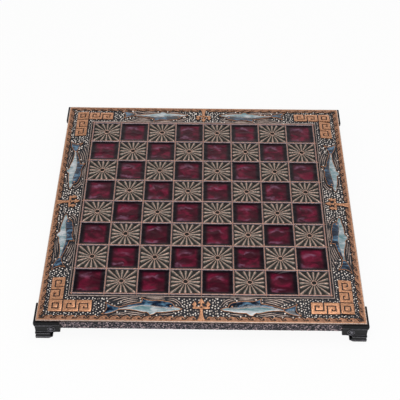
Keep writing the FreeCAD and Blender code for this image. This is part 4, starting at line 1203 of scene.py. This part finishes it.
# Side strips: thin metal strips stamped with a wormy grain, blackened and rubbed so that
# only the high squiggles show mauve and pewter. They are pinned round the core's edge.
stamped, given = new_tree(
    "stamped_strip",
    length="Float",
    height="Float",
    thickness="Float",
    cells_along="Int",
    cells_up="Int",
    depth="Float",
    grain="Float",
    finish="Material",
)
size = node(stamped, "ShaderNodeCombineXYZ", [given["length"], given["thickness"], given["height"]])
bar = node(stamped, "GeometryNodeMeshCube", [size, given["cells_along"], 2, given["cells_up"]])
place = node(stamped, "GeometryNodeInputPosition")
density = node(stamped, "ShaderNodeMath", [1.0, given["grain"]], operation="DIVIDE")
wormy = {"Vector": place, "Scale": density, "Detail": 1.0, "Distortion": 0.3}
off_line = apart(stamped, node(stamped, "ShaderNodeTexNoise", wormy), 0.5)
ridge_share = node(stamped, "ShaderNodeMapRange", [off_line, 0.06, 0.02, 0.0, 1.0])
depth_of = node(stamped, "ShaderNodeSeparateXYZ", [place]).outputs[1]
outer = node(stamped, "ShaderNodeMath", [depth_of, 0.0], operation="LESS_THAN")
standing = node(stamped, "ShaderNodeMath", [ridge_share, outer], operation="MULTIPLY")
lifted = node(stamped, "ShaderNodeMath", [standing, given["depth"]], operation="MULTIPLY")
outwards = node(stamped, "ShaderNodeMath", [lifted, -1.0], operation="MULTIPLY")
shift = node(stamped, "ShaderNodeCombineXYZ", {1: outwards})
relief = {0: bar, 2: "relief", 3: standing}
marked = node(stamped, "GeometryNodeStoreNamedAttribute", relief, data_type="FLOAT", domain="POINT")
moved = node(stamped, "GeometryNodeSetPosition", {0: marked, 3: shift})
grow_out(stamped, moved, given["finish"])

strip_metal = antiqued_copper("blackened_stamped_strip", "#0c0d15", "#22202c", "#786d7b", "#b7a19f")
STRIP_STEP = 0.5
STRIP_DEPTH = 0.35
STRIP_GRAIN = 2.8
for quarter, side_name in enumerate(SIDE_NAMES):
    lo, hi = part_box(f"side_strip_{side_name}")
    size = hi - lo
    length = max(size.x, size.y)
    thickness = min(size.x, size.y)
    strip = grown(
        f"strip_{side_name}",
        stamped,
        length=length,
        height=size.z,
        thickness=thickness,
        cells_along=round(length / (STRIP_STEP * MM)),
        cells_up=round(size.z / (STRIP_STEP * MM)),
        depth=STRIP_DEPTH * MM,
        grain=STRIP_GRAIN * MM,
        finish=strip_metal,
    )
    centre = (lo + hi) / 2
    strip.data.transform(Matrix.Translation(centre) @ Matrix.Rotation(math.pi / 2 * quarter, 4, "Z"))
    fit(strip, "strip_metal", f"side_strip_{side_name}")

# Corner feet: zinc castings under black satin lacquer. Each is an Ionic capital round the
# board's corner, with a scroll on both outer faces, over a ridged shaft and a lipped base.
# Eight screws hold them to the core. The high lines are painted grey, partly as wear from handling and
# partly as painted highlights.
black_lacquer, tree = surface("black_lacquered_zinc")
# Painted highlights: the grey on the high lines is partly wear and partly highlight painted in.
relief_tone = relief_drifting(tree, 2.5, 0.15)
lacquer_wear_and_highlights = graded(tree, relief_tone, (0.2, "#08080a"), (0.6, "#18181b"), (0.95, "#77757c"))
coated(tree, lacquer_wear_and_highlights, {"Roughness": 0.4, "Specular IOR Level": 0.2}, noise(tree, 0.9, 3), 0.05)

FOOT_WALL = 3.5
FOOT_CUT = 0.35
SCROLL_FACE = 1.0
SCROLL_HEIGHT = 0.75
SCROLL_CENTRE = (18.2, 16.6)
SCROLL_RADIUS, SCROLL_EYE = 5.3, 1.3
SCROLL_TURNS, SCROLL_STEPS = 2.25, 40
SCROLL_LINE = 0.95

# Levels of the casting: height, how far its outer faces stand in, how far it reaches inwards,
# and how light it is painted there, for wear and for painted highlights. The first group is
# solid and the second wraps the corner.
FOOTING = (
    (0.0, 0.9, 14.4, 0.1), (0.8, 0.2, 15.0, 0.15), (2.6, 0.1, 18.0, 0.2), (3.3, 0.1, 19.3, 0.95),
    (3.7, 0.1, 19.5, 0.9), (4.3, 0.3, 18.6, 0.2), (5.0, 0.6, 16.9, 0.05), (7.6, 0.6, 16.3, 0.05),
    (8.2, 0.3, 16.5, 0.3), (8.8, 0.2, 16.6, 1.0), (9.3, 0.6, 16.3, 0.1), (10.0, 0.7, 16.3, 0.05),
    (10.3, 1.6, 25.0, 0.1), (10.8, 1.1, 27.2, 0.5), (11.5, 0.8, 28.3, 1.0), (12.2, 1.0, 28.4, 0.15),
    (15.0, 1.0, 28.4, 0.05),
)
UPRIGHT = (
    (15.0, 1.0, 28.4, 0.05), (20.6, 0.9, 28.4, 0.1), (22.9, 0.9, 28.4, 0.05), (23.1, 0.3, 28.5, 0.3),
    (23.7, 0.0, 28.5, 0.9), (24.4, 0.0, 28.5, 0.3), (24.7, 0.5, 28.4, 0.0), (25.2, 0.5, 28.4, 0.0),
    (25.5, 0.0, 28.5, 0.3), (27.0, 0.0, 28.5, 0.15), (27.5, 0.3, 28.4, 0.4),
)


def softened(corners, cut):
    """A closed outline with each of its corners cut back a little both ways."""
    line = []
    for before, here, after in zip(corners[-1:] + corners[:-1], corners, corners[1:] + corners[:1]):
        for other in (before, after):
            line.append(Vector(here) + (Vector(other) - Vector(here)).normalized() * cut)
    return line


def foot_block(levels, wall=None):
    """A block through levels, square or, with a wall, an angle round the board's corner."""
    rings, shades = [], []
    for z, near, far, shade in levels:
        inner = [(far, wall), (wall, wall), (wall, far)] if wall else [(far, far)]
        outline = softened([(near, near), (far, near), *inner, (near, far)], FOOT_CUT)
        rings.append([(s, t, z) for s, t in outline])
        shades += [shade] * len(outline)
    return *swept(rings), shades


scroll_u, scroll_v = SCROLL_CENTRE
scroll = [(0.8, scroll_v + SCROLL_RADIUS), (9.0, scroll_v + SCROLL_RADIUS)]
shrink = math.log(SCROLL_RADIUS / SCROLL_EYE)
for turned in np.linspace(0, 1, SCROLL_STEPS):
    angle = math.pi / 2 - turned * SCROLL_TURNS * math.tau
    radius = SCROLL_RADIUS * math.exp(-shrink * turned)
    scroll.append((scroll_u + radius * math.cos(angle), scroll_v + radius * math.sin(angle)))
foot_shapes = (
    bead(scroll, SCROLL_LINE, SCROLL_HEIGHT),
    raised([ring_points(SCROLL_CENTRE, SCROLL_EYE)], SCROLL_HEIGHT, softness=0.2, top_shade=0.9),
)
for name, sx, sy in (
    ("foot_front_left", -1, -1),
    ("foot_front_right", 1, -1),
    ("foot_back_right", 1, 1),
    ("foot_back_left", -1, 1),
):
    lo, hi = (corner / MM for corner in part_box(name))
    outermost = max(abs(lo.x), abs(hi.x))
    mirrored = sx * sy < 0

    def in_corner(s, t, z):
        """A point of the foot, counted inwards from its outer faces and up from its base."""
        return sx * (outermost - s), sy * (outermost - t), lo.z + z

    casting = Casting()
    casting.add(foot_block(FOOTING), in_corner, mirrored)
    casting.add(foot_block(UPRIGHT, FOOT_WALL), in_corner, mirrored)
    for shape in foot_shapes:
        casting.add(shape, lambda u, v, height: in_corner(u, SCROLL_FACE - height, v), mirrored)
        casting.add(shape, lambda u, v, height: in_corner(SCROLL_FACE - height, u, v), not mirrored)
    shape_name = name.replace("foot", "capital_foot")
    foot = piece(shape_name, casting.points, casting.faces, black_lacquer, casting.shades)
    fit(foot, "foot_metal", name)
